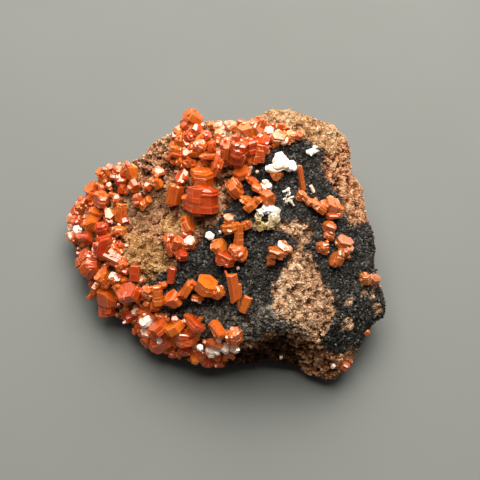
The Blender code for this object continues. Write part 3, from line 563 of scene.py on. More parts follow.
def photo_pixels(points):
    """The photograph pixels in which points show, one row each."""
    lines = points - np.array(EYE)
    depths = VIEW_DISTANCE / -(lines @ np.array(TOWARDS))
    across = (lines * depths[:, None] + np.array(EYE - LOOK_AT)) / PIXEL
    return np.column_stack((PHOTO_MIDDLE + across @ np.array(RIGHT), PHOTO_MIDDLE - across @ np.array(UP)))


def smooth_step(values, low, high):
    """Values as shares from 0 at low to 1 at high, with soft ends."""
    share = np.clip((values - low) / (high - low), 0, 1)
    return share * share * (3 - 2 * share)


def reach_inside(pixels, outline):
    """How far each pixel lies inside a closed outline, negative outside it."""
    inside = np.zeros(len(pixels), bool)
    nearest = np.full(len(pixels), np.inf)
    corners = np.array(outline, float)
    for start, end in zip(corners, np.roll(corners, -1, axis=0)):
        side, away = end - start, pixels - start
        share = np.clip(away @ side / (side @ side), 0, 1)
        nearest = np.minimum(nearest, np.linalg.norm(away - share[:, None] * side, axis=1))
        if side[1]:
            crossed = (start[1] > pixels[:, 1]) != (end[1] > pixels[:, 1])
            inside ^= crossed & (away[:, 0] < away[:, 1] * side[0] / side[1])
    return np.where(inside, nearest, -nearest)


def noise_at(points, length, offset=0.0):
    """Smooth noise from about -1 to 1 at each point, with lumps about that long."""
    shift = Vector((offset, offset, offset))
    return np.array([noise.noise(Vector(point) / length + shift) for point in points])


def creases_at(points, length, octaves):
    """Creased noise from 0 in its creases to about 1 on its humps."""
    return np.array([noise.turbulence(Vector(point) / length, octaves, True) for point in points])


def grains_at(points, length):
    """Round grains about that wide: 1 at their middles and 0 between them."""
    gaps = np.array([noise.voronoi(Vector(point) / length)[0][:2] for point in points])
    return np.clip((gaps[:, 1] - gaps[:, 0]) * 1.6, 0, 1)


def patches_at(points, length, offset, low, high):
    """Noise as shares, from 0 between patches about that long to 1 in them."""
    return smooth_step(noise_at(points, length, offset), low, high)


def way_to_light(elevation, azimuth):
    """The way to a light that high above the table, and turned that far to the right of the back."""
    level = cos(elevation)
    return Vector((level * sin(azimuth), level * cos(azimuth), sin(elevation)))


def link_object(name, data):
    """A new object in the scene that holds this mesh, lamp or camera."""
    made = bpy.data.objects.new(name, data)
    bpy.context.scene.collection.objects.link(made)
    return made


def set_shares(mesh, shares):
    """Writes named values, one for each point, that the materials read."""
    for name, values in shares.items():
        attribute = mesh.attributes.new(name, "FLOAT", "POINT")
        attribute.data.foreach_set("value", np.asarray(values, np.float32))


def read_rows(items, name, width, kind=np.float32):
    """What this property holds for each of a mesh's items, one row each."""
    values = np.empty(len(items) * width, kind)
    items.foreach_get(name, values)
    return values.reshape(-1, width)


def points_of(mesh):
    """The mesh's points, one row each."""
    return read_rows(mesh.vertices, "co", 3).astype(float)


def normals_of(mesh):
    """The mesh's normals at its points."""
    return read_rows(mesh.vertex_normals, "vector", 3).astype(float)


def read_values(mesh, name):
    """The values that a mesh's points hold under this name."""
    return read_rows(mesh.attributes[name].data, "value", 1).ravel()


def tree_of(node):
    """A search tree over a CAD node's faces."""
    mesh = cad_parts[node].data
    points = [point.co for point in mesh.vertices]
    return BVHTree.FromPolygons(points, [face.vertices for face in mesh.polygons])


# Shader building blocks


BLACK, GREY, WHITE = (0, 0, 0), (0.5, 0.5, 0.5), (1, 1, 1)


def solid(colour):
    """A colour with its alpha."""
    return (*colour, 1)


def multiply_colour(colour, tint):
    """A colour times a tint, part by part, with its alpha."""
    return solid(part * share for part, share in zip(colour, tint))


def place(tree, kind, inputs=None, **settings):
    """Adds a node to a tree, with its settings, and feeds its inputs from sockets or plain values."""
    made = tree.nodes.new(kind)
    for name, value in settings.items():
        setattr(made, name, value)
    for name, value in (inputs or {}).items():
        if isinstance(value, bpy.types.NodeSocket):
            tree.links.new(value, made.inputs[name])
        else:
            made.inputs[name].default_value = value
    return made


def compute(tree, operation, *values, clamp=False):
    """The output of a Math node."""
    made = place(tree, "ShaderNodeMath", dict(enumerate(values)), operation=operation, use_clamp=clamp)
    return made.outputs[0]


def mix(tree, share, under, over, way="MIX"):
    """The colour between two colours, as a Mix node's output."""
    made = place(tree, "ShaderNodeMix", {0: share, 6: under, 7: over}, data_type="RGBA", blend_type=way)
    return made.outputs[2]


def share_of(tree, value, low, high):
    """A value as a share from 0 at low to 1 at high."""
    inputs = {"Value": value, "From Min": low, "From Max": high}
    return place(tree, "ShaderNodeMapRange", inputs, clamp=True).outputs[0]


def read_vector(tree, name):
    """The vector that the mesh holds under this name."""
    return place(tree, "ShaderNodeAttribute", attribute_name=name).outputs["Vector"]


def read_share(tree, name):
    """The value that the mesh holds under this name."""
    return place(tree, "ShaderNodeAttribute", attribute_name=name).outputs["Fac"]


def new_group(name, inputs, outputs):
    """An empty shader group with these sockets, and its two end nodes."""
    tree = bpy.data.node_groups.new(name, "ShaderNodeTree")
    for label, kind, value in inputs:
        tree.interface.new_socket(label, in_out="INPUT", socket_type=kind).default_value = value
    for label, kind in outputs:
        tree.interface.new_socket(label, in_out="OUTPUT", socket_type=kind)
    return tree, tree.nodes.new("NodeGroupInput").outputs, tree.nodes.new("NodeGroupOutput").inputs


def build_grain_group():
    """Grain in a stone: a soft cloud, the cells of single grains, and a tone for each cell."""
    tree, given, wanted = new_group(
        "grain",
        [("Cloud Scale", "NodeSocketFloat", 900.0), ("Cell Scale", "NodeSocketFloat", 2400.0)],
        [("Cloud", "NodeSocketFloat"), ("Cell", "NodeSocketFloat"), ("Cell Tone", "NodeSocketFloat")],
    )
    where = place(tree, "ShaderNodeTexCoord").outputs["Object"]
    cloud = place(
        tree, "ShaderNodeTexNoise",
        {"Vector": where, "Scale": given["Cloud Scale"], "Detail": 5.0, "Roughness": 0.6},
    )
    cell = place(tree, "ShaderNodeTexVoronoi", {"Vector": where, "Scale": given["Cell Scale"]})
    tone = place(tree, "ShaderNodeSeparateColor", {"Color": cell.outputs["Color"]})
    tree.links.new(share_of(tree, cloud.outputs["Fac"], 0.3, 0.7), wanted["Cloud"])
    tree.links.new(compute(tree, "SUBTRACT", 1.0, cell.outputs["Distance"], clamp=True), wanted["Cell"])
    tree.links.new(tone.outputs[0], wanted["Cell Tone"])
    return tree


def build_coating_group():
    """Lays a coating over what is under it: dark in the pits, then its own colour, then light on the tips, in
    part as painted shade and painted light.
    """
    tree, given, wanted = new_group(
        "coating",
        [
            ("Under", "NodeSocketColor", solid(BLACK)),
            ("Pit", "NodeSocketColor", solid(BLACK)),
            ("Body", "NodeSocketColor", solid(GREY)),
            ("Tip", "NodeSocketColor", solid(WHITE)),
            ("Level", "NodeSocketFloat", 0.5),
            ("Cover", "NodeSocketFloat", 1.0),
        ],
        [("Color", "NodeSocketColor")],
    )
    low = mix(tree, share_of(tree, given["Level"], 0.12, 0.5), given["Pit"], given["Body"])
    full = mix(tree, share_of(tree, given["Level"], 0.45, 0.85), low, given["Tip"])
    tree.links.new(mix(tree, given["Cover"], given["Under"], full), wanted["Color"])
    return tree


def place_group(tree, name, build, inputs):
    """The outputs of a shader group, which is built once and used by several materials."""
    shared = bpy.data.node_groups.get(name) or build()
    return place(tree, "ShaderNodeGroup", inputs, node_tree=shared).outputs


def place_grain(tree, cloud_scale, cell_scale):
    """Grain in a material, with its clouds and its cells at these scales."""
    inputs = {"Cloud Scale": cloud_scale, "Cell Scale": cell_scale}
    return place_group(tree, "grain", build_grain_group, inputs)


def new_material(name, shader_values):
    """A material with a Principled shader and plain values on its sockets."""
    material = bpy.data.materials.new(name)
    material.use_nodes = True
    shader = material.node_tree.nodes["Principled BSDF"]
    for label, value in shader_values.items():
        shader.inputs[label].default_value = value
    return material, material.node_tree, shader.inputs


def add_bump(tree, shader, height, strength, distance):
    """Roughens a material's normals by a height."""
    bump = place(tree, "ShaderNodeBump", {"Height": height, "Strength": strength, "Distance": distance})
    tree.links.new(bump.outputs["Normal"], shader["Normal"])


def build_floor_material(settings):
    """Matt grey card with a faint tooth."""
    material, tree, shader = new_material("card", {"Specular IOR Level": 0.2})
    grain = place_grain(tree, 25.0, 1500.0)
    shade = multiply_colour(settings.floor_colour, CARD_TINT)
    colour = mix(tree, grain["Cloud"], shade, solid(settings.floor_colour))
    tree.links.new(colour, shader["Base Color"])
    tree.links.new(share_of(tree, grain["Cloud"], -3.0, 1.5), shader["Roughness"])
    add_bump(tree, shader, grain["Cell"], 0.1, 0.05 * MM)
    return material


def build_rock_material(settings):
    """Crumbly brown rock under its ochre, pinkish, umber and black coatings, with painted shade in its pits
    and under its lip, and painted sheen and glints on its crust.
    """
    material, tree, shader = new_material("rock_with_coatings", {"Specular IOR Level": 0.15})
    grain = place_grain(tree, 800.0, 2600.0)
    broad = place_grain(tree, 260.0, 1100.0)
    # The level from pit to tip, by which the pits are darkened and the tips lightened: partly painted shade
    # and light
    level = compute(
        tree, "MULTIPLY_ADD", read_share(tree, "rise"), 0.8, compute(tree, "MULTIPLY", grain["Cloud"], 0.25)
    )
    blush, crust = read_share(tree, "blush"), read_share(tree, "crust")

    def coat(pit, body, tips, **laid):
        """The colour of a coating, over what is under it and as far as it covers that."""
        inputs = {"Pit": pit, "Body": body, "Tip": tips, "Level": level, **laid}
        return place_group(tree, "coating", build_coating_group, inputs)["Color"]

    warm = mix(tree, broad["Cloud"], solid(settings.pale_rock_colour), solid(settings.rock_colour))
    tips = mix(tree, blush, solid(settings.tip_colour), solid(settings.blush_colour))
    colour = coat(solid(settings.pit_colour), warm, tips)
    for name, (body_share, pit_share) in COATING_LEVELS.items():
        tip = getattr(settings, f"{name}_colour")
        grey = name in GREY_COATINGS
        redder = multiply_colour(tip, CRUST_TINT if grey else settings.blush_tint)
        body = multiply_colour(tip, [body_share * share for share in (GREY_TINT if grey else BODY_TINT)])
        pit = multiply_colour(tip, [pit_share * share for share in PIT_TINT])
        tips = mix(tree, blush, solid(tip), redder)
        colour = coat(pit, body, tips, Under=colour, Cover=read_share(tree, name))
    # Painted glint: random grains of the crust turn a lighter grey, besides their lower roughness
    glint = compute(tree, "MULTIPLY", share_of(tree, grain["Cell Tone"], 0.92, 0.95), crust)
    colour = mix(tree, compute(tree, "MULTIPLY", glint, 0.7), colour, solid(settings.glint_colour))
    tree.links.new(colour, shader["Base Color"])
    roughness = compute(tree, "MULTIPLY_ADD", crust, -0.35, 0.95)
    tree.links.new(compute(tree, "MULTIPLY_ADD", glint, -0.2, roughness), shader["Roughness"])
    height = compute(tree, "MULTIPLY_ADD", grain["Cell"], 0.5, grain["Cloud"])
    add_bump(tree, shader, height, 0.7, 0.18 * MM)
    return material


def build_crystal_material(settings):
    """Resinous orange to red crystal that light enters, browner where it is stained and at its foot, which is
    painted shade with some stain; with painted light at its edges, a painted glow from within, and a pale
    film on frosted crystals that partly paints white highlights.
    """
    material, tree, shader = new_material(
        CRYSTAL_MATERIAL,
        {
            "IOR": 1.7,
            "Subsurface Weight": 0.35,
            "Subsurface Radius": (1.0, 0.4, 0.15),
            "Subsurface Scale": 0.7 * MM,
            # Painted glow: the crystal also gives off its own colour as light
            "Emission Strength": 0.15,
        },
    )
    grain = place_grain(tree, 600.0, 1800.0)
    own_tone = read_share(tree, "tone")
    tone = compute(tree, "ADD", own_tone, compute(tree, "MULTIPLY", grain["Cloud"], 0.65))
    # Painted light at the edges: there the tone turns towards amber, then towards the glow colour
    edge = share_of(tree, read_share(tree, "edge_gap"), EDGE_GLOW, EDGE_LINE)
    edge = compute(tree, "MULTIPLY", edge, share_of(tree, grain["Cloud"], 0.2, 0.8))
    tone = compute(tree, "SUBTRACT", tone, compute(tree, "MULTIPLY_ADD", edge, 0.3, 0.2), clamp=True)
    light = mix(tree, share_of(tree, tone, 0.0, 0.3), solid(settings.amber), solid(settings.orange))
    colour = mix(tree, share_of(tree, tone, 0.3, 1.0), light, solid(settings.red))
    colour = mix(tree, compute(tree, "MULTIPLY", edge, 0.4), colour, solid(settings.glow))
    # The pale film of frosted crystals, partly a painted highlight for white flashes
    film = compute(tree, "SUBTRACT", grain["Cloud"], 0.8)
    film = compute(tree, "MULTIPLY_ADD", own_tone, -1.7, film, clamp=True)
    frost_and_flash = compute(tree, "MULTIPLY", share_of(tree, own_tone, 0.0, -0.15), film)
    colour = mix(tree, frost_and_flash, colour, solid(settings.frost_and_flash))
    inner = read_vector(tree, "inner")
    across = place(tree, "ShaderNodeVectorMath", {0: inner, 1: (1, 1, 0)}, operation="MULTIPLY").outputs[0]
    radius = place(tree, "ShaderNodeVectorMath", {0: across}, operation="LENGTH").outputs["Value"]
    along = compute(tree, "ABSOLUTE", place(tree, "ShaderNodeSeparateXYZ", {0: inner}).outputs["Z"])
    step = compute(tree, "MULTIPLY_ADD", along, 5.0, compute(tree, "MULTIPLY", radius, 4.0))
    step = compute(tree, "MULTIPLY_ADD", own_tone, 40.0, step)
    growth = place(
        tree, "ShaderNodeTexNoise", {"W": step, "Scale": 1.6, "Detail": 3.0}, noise_dimensions="1D"
    ).outputs["Fac"]
    # Stain, and painted shade with some stain at the feet, turn the crystal towards rust
    stain = compute(tree, "MULTIPLY", read_share(tree, "stain"), share_of(tree, grain["Cloud"], -0.8, 0.7))
    stain = compute(tree, "MULTIPLY", stain, compute(tree, "MULTIPLY_ADD", edge, -0.7, 1.0))
    colour = mix(tree, stain, colour, solid(settings.rust))
    tree.links.new(colour, shader["Base Color"])
    # Painted glow: the crystal's colour is given off as light
    tree.links.new(colour, shader["Emission Color"])
    rough = compute(tree, "MULTIPLY_ADD", grain["Cell Tone"], 0.06, 0.06)
    tree.links.new(compute(tree, "MULTIPLY_ADD", stain, 0.12, rough), shader["Roughness"])
    add_bump(tree, shader, compute(tree, "MULTIPLY_ADD", growth, 1.2, grain["Cloud"]), 0.16, 0.05 * MM)
    return material


def build_blade_material(settings):
    """Satin cream barite with a faint grain, stained in places, and darker feet: dirt and painted shade near
    the rock.
    """
    material, tree, shader = new_material(
        "satin_barite",
        {"Subsurface Weight": 0.3, "Subsurface Radius": (1.0, 0.8, 0.5), "Subsurface Scale": 0.6 * MM},
    )
    grain = place_grain(tree, 900.0, 2600.0)
    tone = read_share(tree, "tone")
    pale = mix(tree, share_of(tree, tone, 0.0, -1.0), solid(settings.cream), solid(settings.white))
    pale = mix(tree, share_of(tree, tone, 0.0, 1.0), pale, solid(settings.honey))
    colour = mix(tree, grain["Cloud"], mix(tree, 0.45, pale, solid(BLACK)), pale)
    # Stains, and painted shade with some dirt at the feet, turn the blade towards the soil colour
    soil_and_shade = compute(tree, "MULTIPLY", read_share(tree, "stain"), share_of(tree, grain["Cloud"], 0.2, 0.9))
    colour = mix(tree, soil_and_shade, colour, solid(settings.soil_and_shade))
    tree.links.new(colour, shader["Base Color"])
    tree.links.new(share_of(tree, grain["Cloud"], -0.6, 2.6), shader["Roughness"])
    add_bump(tree, shader, grain["Cloud"], 0.4, 0.08 * MM)
    return material


def build_sky(settings):
    """A soft room with a bright glow low behind the specimen."""
    world = bpy.data.worlds.new("soft_room")
    world.use_nodes = True
    tree = world.node_tree
    way = place(tree, "ShaderNodeTexCoord").outputs["Generated"]
    slope = place(tree, "ShaderNodeVectorMath", {0: way, 1: SKY_WAY}, operation="DOT_PRODUCT")
    inputs = {"Value": slope.outputs["Value"], "From Min": 0.35, "From Max": 1.0}
    inputs |= {"To Min": settings.sky_before, "To Max": settings.sky_behind}
    strength = place(tree, "ShaderNodeMapRange", inputs).outputs[0]
    sky = tree.nodes["Background"].inputs
    sky["Color"].default_value = solid(settings.sky_colour)
    tree.links.new(strength, sky["Strength"])
    return world


def finish_piece(piece, material, slot, *nodes):
    """Gives a piece its material and its body, and hides the CAD nodes that it stands for; the slot is not
    used.
    """
    piece.data.materials.append(material)
    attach(piece, BODY)
    if nodes:
        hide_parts(*nodes)


# The rock


def coating_shares(points, facing):
    """How far each coating covers each point, for points that turn towards the camera by facing."""
    pixels = photo_pixels(points)
    seen = smooth_step(facing, *FACE_TURN)
    wander = sum(
        noise_at(points, length, 3.0 * step) * reach for step, (length, reach) in enumerate(EDGE_WANDER)
    )

    def cover(outlines):
        """How far these outlines cover each point, seen from the camera or not."""
        reach = np.max([reach_inside(pixels, outline) for outline in outlines], axis=0)
        return smooth_step(reach + wander, -EDGE_WIDTH, EDGE_WIDTH)

    pink, crust, ochre, umber, straw, dust, cream, redder = (
        cover(outlines) * seen
        for outlines in (
            PINK_OUTLINES, CRUST_OUTLINES, OCHRE_OUTLINES, UMBER_OUTLINES, STRAW_OUTLINES, DUST_AND_SHEEN_OUTLINES,
            CREAM_OUTLINES, BLUSH_OUTLINES,
        )
    )
    pink = np.maximum(pink, straw * patches_at(points, *STRAW_PATCHES))
    cream = cream * patches_at(points, *CREAM_PATCHES)
    for x, y, radius in CREAM_SPOTS:
        gap = np.linalg.norm(pixels - (x, y), axis=1) - radius + wander * 0.7
        cream = np.maximum(cream, smooth_step(-gap, -EDGE_WIDTH, EDGE_WIDTH) * seen)
    crust = crust * (1 - pink) * (1 - cream)
    return {
        "pink": pink,
        "crust": crust,
        "ochre": ochre * (1 - crust),
        "umber": umber * (1 - crust) * (1 - pink),
        "wall": cover(PAINTED_SHADE_OUTLINES) * (1 - pink) * (1 - crust),
        "dust": dust * patches_at(points, *DUST_AND_SHEEN_PATCHES) * crust,
        "cream": cream,
        "blush": np.maximum(patches_at(points, *BLUSH_PATCHES), redder * patches_at(points, *REDDER_PATCHES)),
    }


def fine_rock_mesh(voxel):
    """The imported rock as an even, softened mesh of cells that wide."""
    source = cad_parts["rock"].data
    shape = bmesh.new()
    shape.from_mesh(source)
    bmesh.ops.remove_doubles(shape, verts=shape.verts, dist=0.001 * MM)
    bmesh.ops.subdivide_edges(shape, edges=shape.edges, cuts=1, use_grid_fill=True, smooth=0.6)
    for _ in range(3):
        bmesh.ops.smooth_vert(
            shape, verts=shape.verts, factor=0.5, use_axis_x=True, use_axis_y=True, use_axis_z=True
        )
    mesh = bpy.data.meshes.new("rock_surface")
    shape.to_mesh(mesh)
    shape.free()
    coarse = link_object("coarse_rock", mesh)
    cells = coarse.modifiers.new("cells", "REMESH")
    cells.mode = "VOXEL"
    cells.voxel_size = voxel
    graph = bpy.context.evaluated_depsgraph_get()
    fine = bpy.data.meshes.new_from_object(coarse.evaluated_get(graph))
    fine.name = "rock_surface"
    bpy.data.objects.remove(coarse)
    return fine


def relief_at(points, crust, calm):
    """How far the rock's skin stands out at each point, in metres, and its rise from pit to tip."""
    lumps = creases_at(points, LUMP_LENGTH, 3)
    grains = grains_at(points, GRAIN_LENGTH)
    soot = creases_at(points, SOOT_LUMP_LENGTH, 3)
    fine_soot = grains_at(points, SOOT_GRAIN_LENGTH)
    pits = patches_at(points, *PIT_PATCHES)
    brown = (0.6 * (lumps - 0.35) + 0.3 * (grains - 0.4) - 0.75 * pits) * (1 - 0.3 * calm)
    black = 0.5 * (soot - 0.35) + 0.3 * (fine_soot - 0.4)
    height = (brown * (1 - crust) + black * crust) * MM
    brown_rise = 0.15 + 0.45 * grains + 0.7 * (lumps - 0.2)
    black_rise = 0.15 + 0.5 * fine_soot + 0.5 * (soot - 0.2)
    rise = np.where(crust > 0.5, black_rise, brown_rise)
    return height, np.clip(rise - 0.7 * pits * (1 - crust) * (1 - 0.5 * calm), 0, 1)


def make_rock_surface(voxel):
    """The rock's skin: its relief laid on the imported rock, and flat where it lies on the table."""
    mesh = fine_rock_mesh(voxel)
    points, normals = points_of(mesh), normals_of(mesh)
    shares = coating_shares(points, normals @ np.array(TOWARDS))
    calm = np.clip(shares["ochre"] + shares["umber"] + 0.6 * shares["pink"], 0, 1)
    height, rise = relief_at(points, shares["crust"], calm)
    clear = smooth_step(points[:, 2], *SKIN_FADE)
    points += normals * (height * clear)[:, None]
    points[:, 2] = np.maximum(points[:, 2], 0)
    mesh.vertices.foreach_set("co", points.astype(np.float32).ravel())
    mesh.update()
    set_shares(mesh, {**shares, "rise": rise * clear + 0.4 * (1 - clear), "calm": calm})
    return link_object("rock_surface", mesh)


def scatter_spots(random, mesh, weight, count):
    """Random spots on a mesh, thicker where a point weighs more: places, normals and near points' numbers."""
    mesh.calc_loop_triangles()
    corners = read_rows(mesh.loop_triangles, "vertices", 3, np.int32)
    points = points_of(mesh)
    a, b, c = (points[corners[:, side]] for side in range(3))
    across = np.cross(b - a, c - a)
    area = np.linalg.norm(across, axis=1)
    chance = area * weight[corners].mean(axis=1)
    chosen = random.choice(len(corners), size=count, p=chance / chance.sum())
    shares = random.dirichlet((1, 1, 1), count)
    places = sum(shares[:, [side]] * points[corners[chosen, side]] for side in range(3))
    return places, across[chosen] / area[chosen, None], corners[chosen, 0]


def random_turns(random, count):
    """Random rotations, one 3 by 3 matrix each."""
    w, x, y, z = random.normal(size=(count, 4)).T
    size = np.sqrt(w * w + x * x + y * y + z * z)
    w, x, y, z = w / size, x / size, y / size, z / size
    rows = (
        (1 - 2 * (y * y + z * z), 2 * (x * y - z * w), 2 * (x * z + y * w)),
        (2 * (x * y + z * w), 1 - 2 * (x * x + z * z), 2 * (y * z - x * w)),
        (2 * (x * z - y * w), 2 * (y * z + x * w), 1 - 2 * (x * x + y * y)),
    )
    return np.moveaxis(np.array(rows), 2, 0)


def make_crumbs(name, random, surface, weight, count, least, most):
    """Angular crumbs fused on the rock: ragged eight-sided grains, mostly small, at random turns."""
    corners = np.array(CRUMB_CORNERS, float)

    def own(share):
        """The rock's value at each crumb."""
        return read_values(surface.data, share)[near]

    places, normals, near = scatter_spots(random, surface.data, weight, count)
    sizes = least + (most - least) * random.uniform(0, 1, count) ** 2
    sizes *= 1 - 0.3 * own("calm")
    stretch = random.uniform(0.25, 0.7, (count, 1, 3))
    ragged = random.uniform(0.75, 1.25, (count, len(corners), 1))
    crumbs = corners[None] * stretch * ragged * sizes[:, None, None]
    crumbs = np.einsum("nij,nkj->nki", random_turns(random, count), crumbs)
    crumbs += (places + normals * sizes[:, None] * 0.15)[:, None]
    starts = len(corners) * np.arange(count)
    faces = (np.array(CRUMB_FACES)[None] + starts[:, None, None]).reshape(-1, 3)
    mesh = bpy.data.meshes.new(name)
    mesh.from_pydata(crumbs.reshape(-1, 3).tolist(), [], faces.tolist())
    shares = {coating: own(coating) for coating in COATING_LEVELS}
    shares["rise"] = 0.75 * own("rise") + random.uniform(-0.15, 0.55, count)
    shares["blush"] = 0.5 * own("blush") + random.uniform(0, 0.5, count)
    set_shares(mesh, {share: np.repeat(values, len(corners)) for share, values in shares.items()})
    return link_object(name, mesh)


# Crystals


class Site(NamedTuple):
    """Where crystals grow: the rock's faces, and the way that a face points which mirrors the main light."""

    rock_tree: BVHTree
    mirror: Vector


def survey_site(context):
    """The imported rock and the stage's main light as a site for crystals."""
    stage = context.scene.specimen_stage
    mirror = (way_to_light(stage.key_elevation, stage.key_azimuth) + TOWARDS).normalized()
    return Site(tree_of("rock"), mirror)


def seat_on_rock(crystal, rock_tree):
    """Where a crystal's sight line meets the rock, moved towards the rock's middle until it does."""
    for step in range(SEAT_STEPS):
        share = step / SEAT_STEPS
        x = crystal.x + (ROCK_MIDDLE[0] - crystal.x) * share
        y = crystal.y + (ROCK_MIDDLE[1] - crystal.y) * share
        spot = rock_tree.ray_cast(EYE, on_sight_line(x, y, 0) - EYE)[0]
        if spot is not None:
            return spot
    raise ValueError(f"the crystal at {crystal.x}, {crystal.y} has no rock to grow on")


def resting_plane(crystal, spot, rock_tree):
    """A plane along the rock, clear of it all over a crystal's footprint: a point and its normal."""
    reach = FOOTPRINT_SHARE * max(crystal.width, crystal.length) * MM
    angles = [tau * step / FOOTPRINT_SPOKES for step in range(FOOTPRINT_SPOKES)]
    around = [spot + reach * (cos(angle) * RIGHT + sin(angle) * UP) for angle in angles]
    normal = geometry.normal([rock_tree.find_nearest(point)[0] for point in around])
    side = normal.orthogonal().normalized()
    other = normal.cross(side)
    rises = [0.0]
    for ring in range(1, FOOTPRINT_RINGS + 1):
        for angle in angles:
            offset = reach * ring / FOOTPRINT_RINGS * (cos(angle) * side + sin(angle) * other)
            above = spot + offset + PROBE_RISE * reach * normal
            below = rock_tree.ray_cast(above, -normal, PROBE_DEPTH * reach)[0]
            if below is not None:
                rises.append((below - spot).dot(normal))
    return spot + (max(rises) + CONTACT_GAP) * normal, normal


def crystal_axis(crystal):
    """The way a crystal's long axis points."""
    turn, facing = radians(crystal.turn), radians(crystal.facing)
    return cos(facing) * (cos(turn) * RIGHT + sin(turn) * UP) + sin(facing) * TOWARDS


def crystal_turn(crystal, mirror):
    """A crystal's turn, with an end or a side that mirrors the main light where one nearly does."""
    axis = crystal_axis(crystal)
    lean = axis.dot(mirror)
    if abs(lean) > MIRROR_REACH:
        spin = radians(SPIN_STEP * (crystal.x + crystal.y))
        axis = mirror if lean > MIRROR_NEAR else axis
        return axis.to_track_quat("Z", "Y").to_matrix().to_4x4() @ Matrix.Rotation(spin, 4, "Z")
    turned = (axis - lean * mirror).to_track_quat("Z", "Y").to_matrix()
    side = turned.transposed() @ mirror
    return turned.to_4x4() @ Matrix.Rotation(atan2(side.y, side.x), 4, "Z")


def crystal_middle(crystal, spot, plane, normal):
    """A crystal's middle, on its sight line and high enough for most of it to stand clear of the plane."""
    lean = abs(crystal_axis(crystal).dot(normal))
    half_depth = (lean * crystal.length + (1 - lean**2) ** 0.5 * crystal.width) / 2 * MM
    wanted = SEAT_SHARE * half_depth - (spot - plane).dot(normal)
    return spot + TOWARDS * (max(0, wanted) / max(normal.dot(TOWARDS), LEAST_SLOPE) + crystal.proud * MM)


def section(random, sides, uneven):
    """The corners of a crystal's section in shares of its half width, with sides unevenly far out."""
    angles = tau * np.arange(sides) / sides
    reach = cos(tau / sides / 2) * (1 + uneven * random.uniform(-1, 1, sides))
    normals = np.column_stack((np.cos(angles), np.sin(angles)))
    corners = []
    for side in range(sides):
        pair = [side, (side + 1) % sides]
        corners.append(np.linalg.solve(normals[pair], reach[pair]))
    return np.array(corners)


def growth_rings(random, width, length, bevel):
    """Heights and shares of the section, from one end to the other, of plates that grew on one another."""
    plates = 1 + int(random.integers(0, 1 + min(4, round(length / (0.4 * MM)))))
    bounds = np.sort(random.uniform(0.2, 0.8, plates - 1))
    bounds = np.concatenate(([0], bounds, [1])) * length - length / 2
    inward = bevel / (width / 2)
    rings = []
    swell = random.choice((0, 0, 0.07))
    shares = random.uniform(0.84, 1, plates)
    shares[random.integers(plates)] = 1
    for plate, share in enumerate(shares):
        low, high = bounds[plate], bounds[plate + 1]
        edge = min(bevel, (high - low) / 3)
        before = min(share, shares[plate - 1] if plate else share)
        rings.append((low, before - inward))
        rings.append((low + edge, share * (1 - swell)))
        if swell:
            rings.append(((low + high) / 2, share))
        rings.append((high - edge, share * (1 - swell)))
    taper = random.choice((0, 0, 0.12, 0.25)) * min(1, 2 * length / width)
    height, share = rings[-1]
    rings[-1] = (height - taper * width / 4, share)
    end = shares[-1] * (1 - swell) - inward - taper
    rings.append((length / 2, end))
    rim = random.uniform(0.1, 0.3)
    step = random.choice((-1, 1)) * random.uniform(0.5, 1) * bevel
    rings.append((length / 2, end - rim))
    rings.append((length / 2 + step, end - rim - 0.08))
    return rings


def with_facets(random, points, faces, width, length):
    """A loft's points and faces after slanting facets are cut across its ends."""
    shape = bmesh.new()
    corners = [shape.verts.new(point) for point in points.tolist()]
    for face in faces:
        shape.faces.new([corners[corner] for corner in face])
    for end in random.choice((-1, 1, 1), int(random.integers(1, 4))):
        turn, lean = random.uniform(0, tau), radians(random.uniform(*FACET_LEAN))
        reach = random.uniform(*FACET_REACH) * width / 2
        spot = Vector((reach * cos(turn), reach * sin(turn), end * length / 2))
        facing = Vector((sin(lean) * cos(turn), sin(lean) * sin(turn), end * cos(lean)))
        parts = [*shape.verts, *shape.edges, *shape.faces]
        cut = bmesh.ops.bisect_plane(
            shape, geom=parts, dist=CUT_NEAR, plane_co=spot, plane_no=facing, clear_outer=True
        )
        rim = [item for item in cut["geom_cut"] if isinstance(item, bmesh.types.BMEdge)]
        bmesh.ops.contextual_create(shape, geom=rim)
    shape.verts.index_update()
    points = np.array([corner.co for corner in shape.verts])
    faces = [tuple(corner.index for corner in face.verts) for face in shape.faces]
    shape.free()
    return points, faces


def with_middles(points, faces):
    """Faces split from their middles, and how far each of their corners lies from its face's own edge."""
    middles, split, gaps = [], [], []
    for face in faces:
        starts = points[list(face)]
        middle = starts.mean(axis=0)
        sides = points[[*face[1:], face[0]]] - starts
        lengths = np.linalg.norm(sides, axis=1)
        depths = np.linalg.norm(np.cross(sides, middle - starts), axis=1) / np.maximum(lengths, 1e-9)
        if depths.min() < LEAST_SPLIT_DEPTH:
            split.append(face)
            gaps.extend([0.0] * len(face))
            continue
        for corner, depth in enumerate(depths.tolist()):
            split.append((face[corner], face[(corner + 1) % len(face)], len(points) + len(middles)))
            gaps.extend((0.0, 0.0, depth))
        middles.append(middle)
    return np.concatenate((points, np.array(middles).reshape(-1, 3))), split, gaps


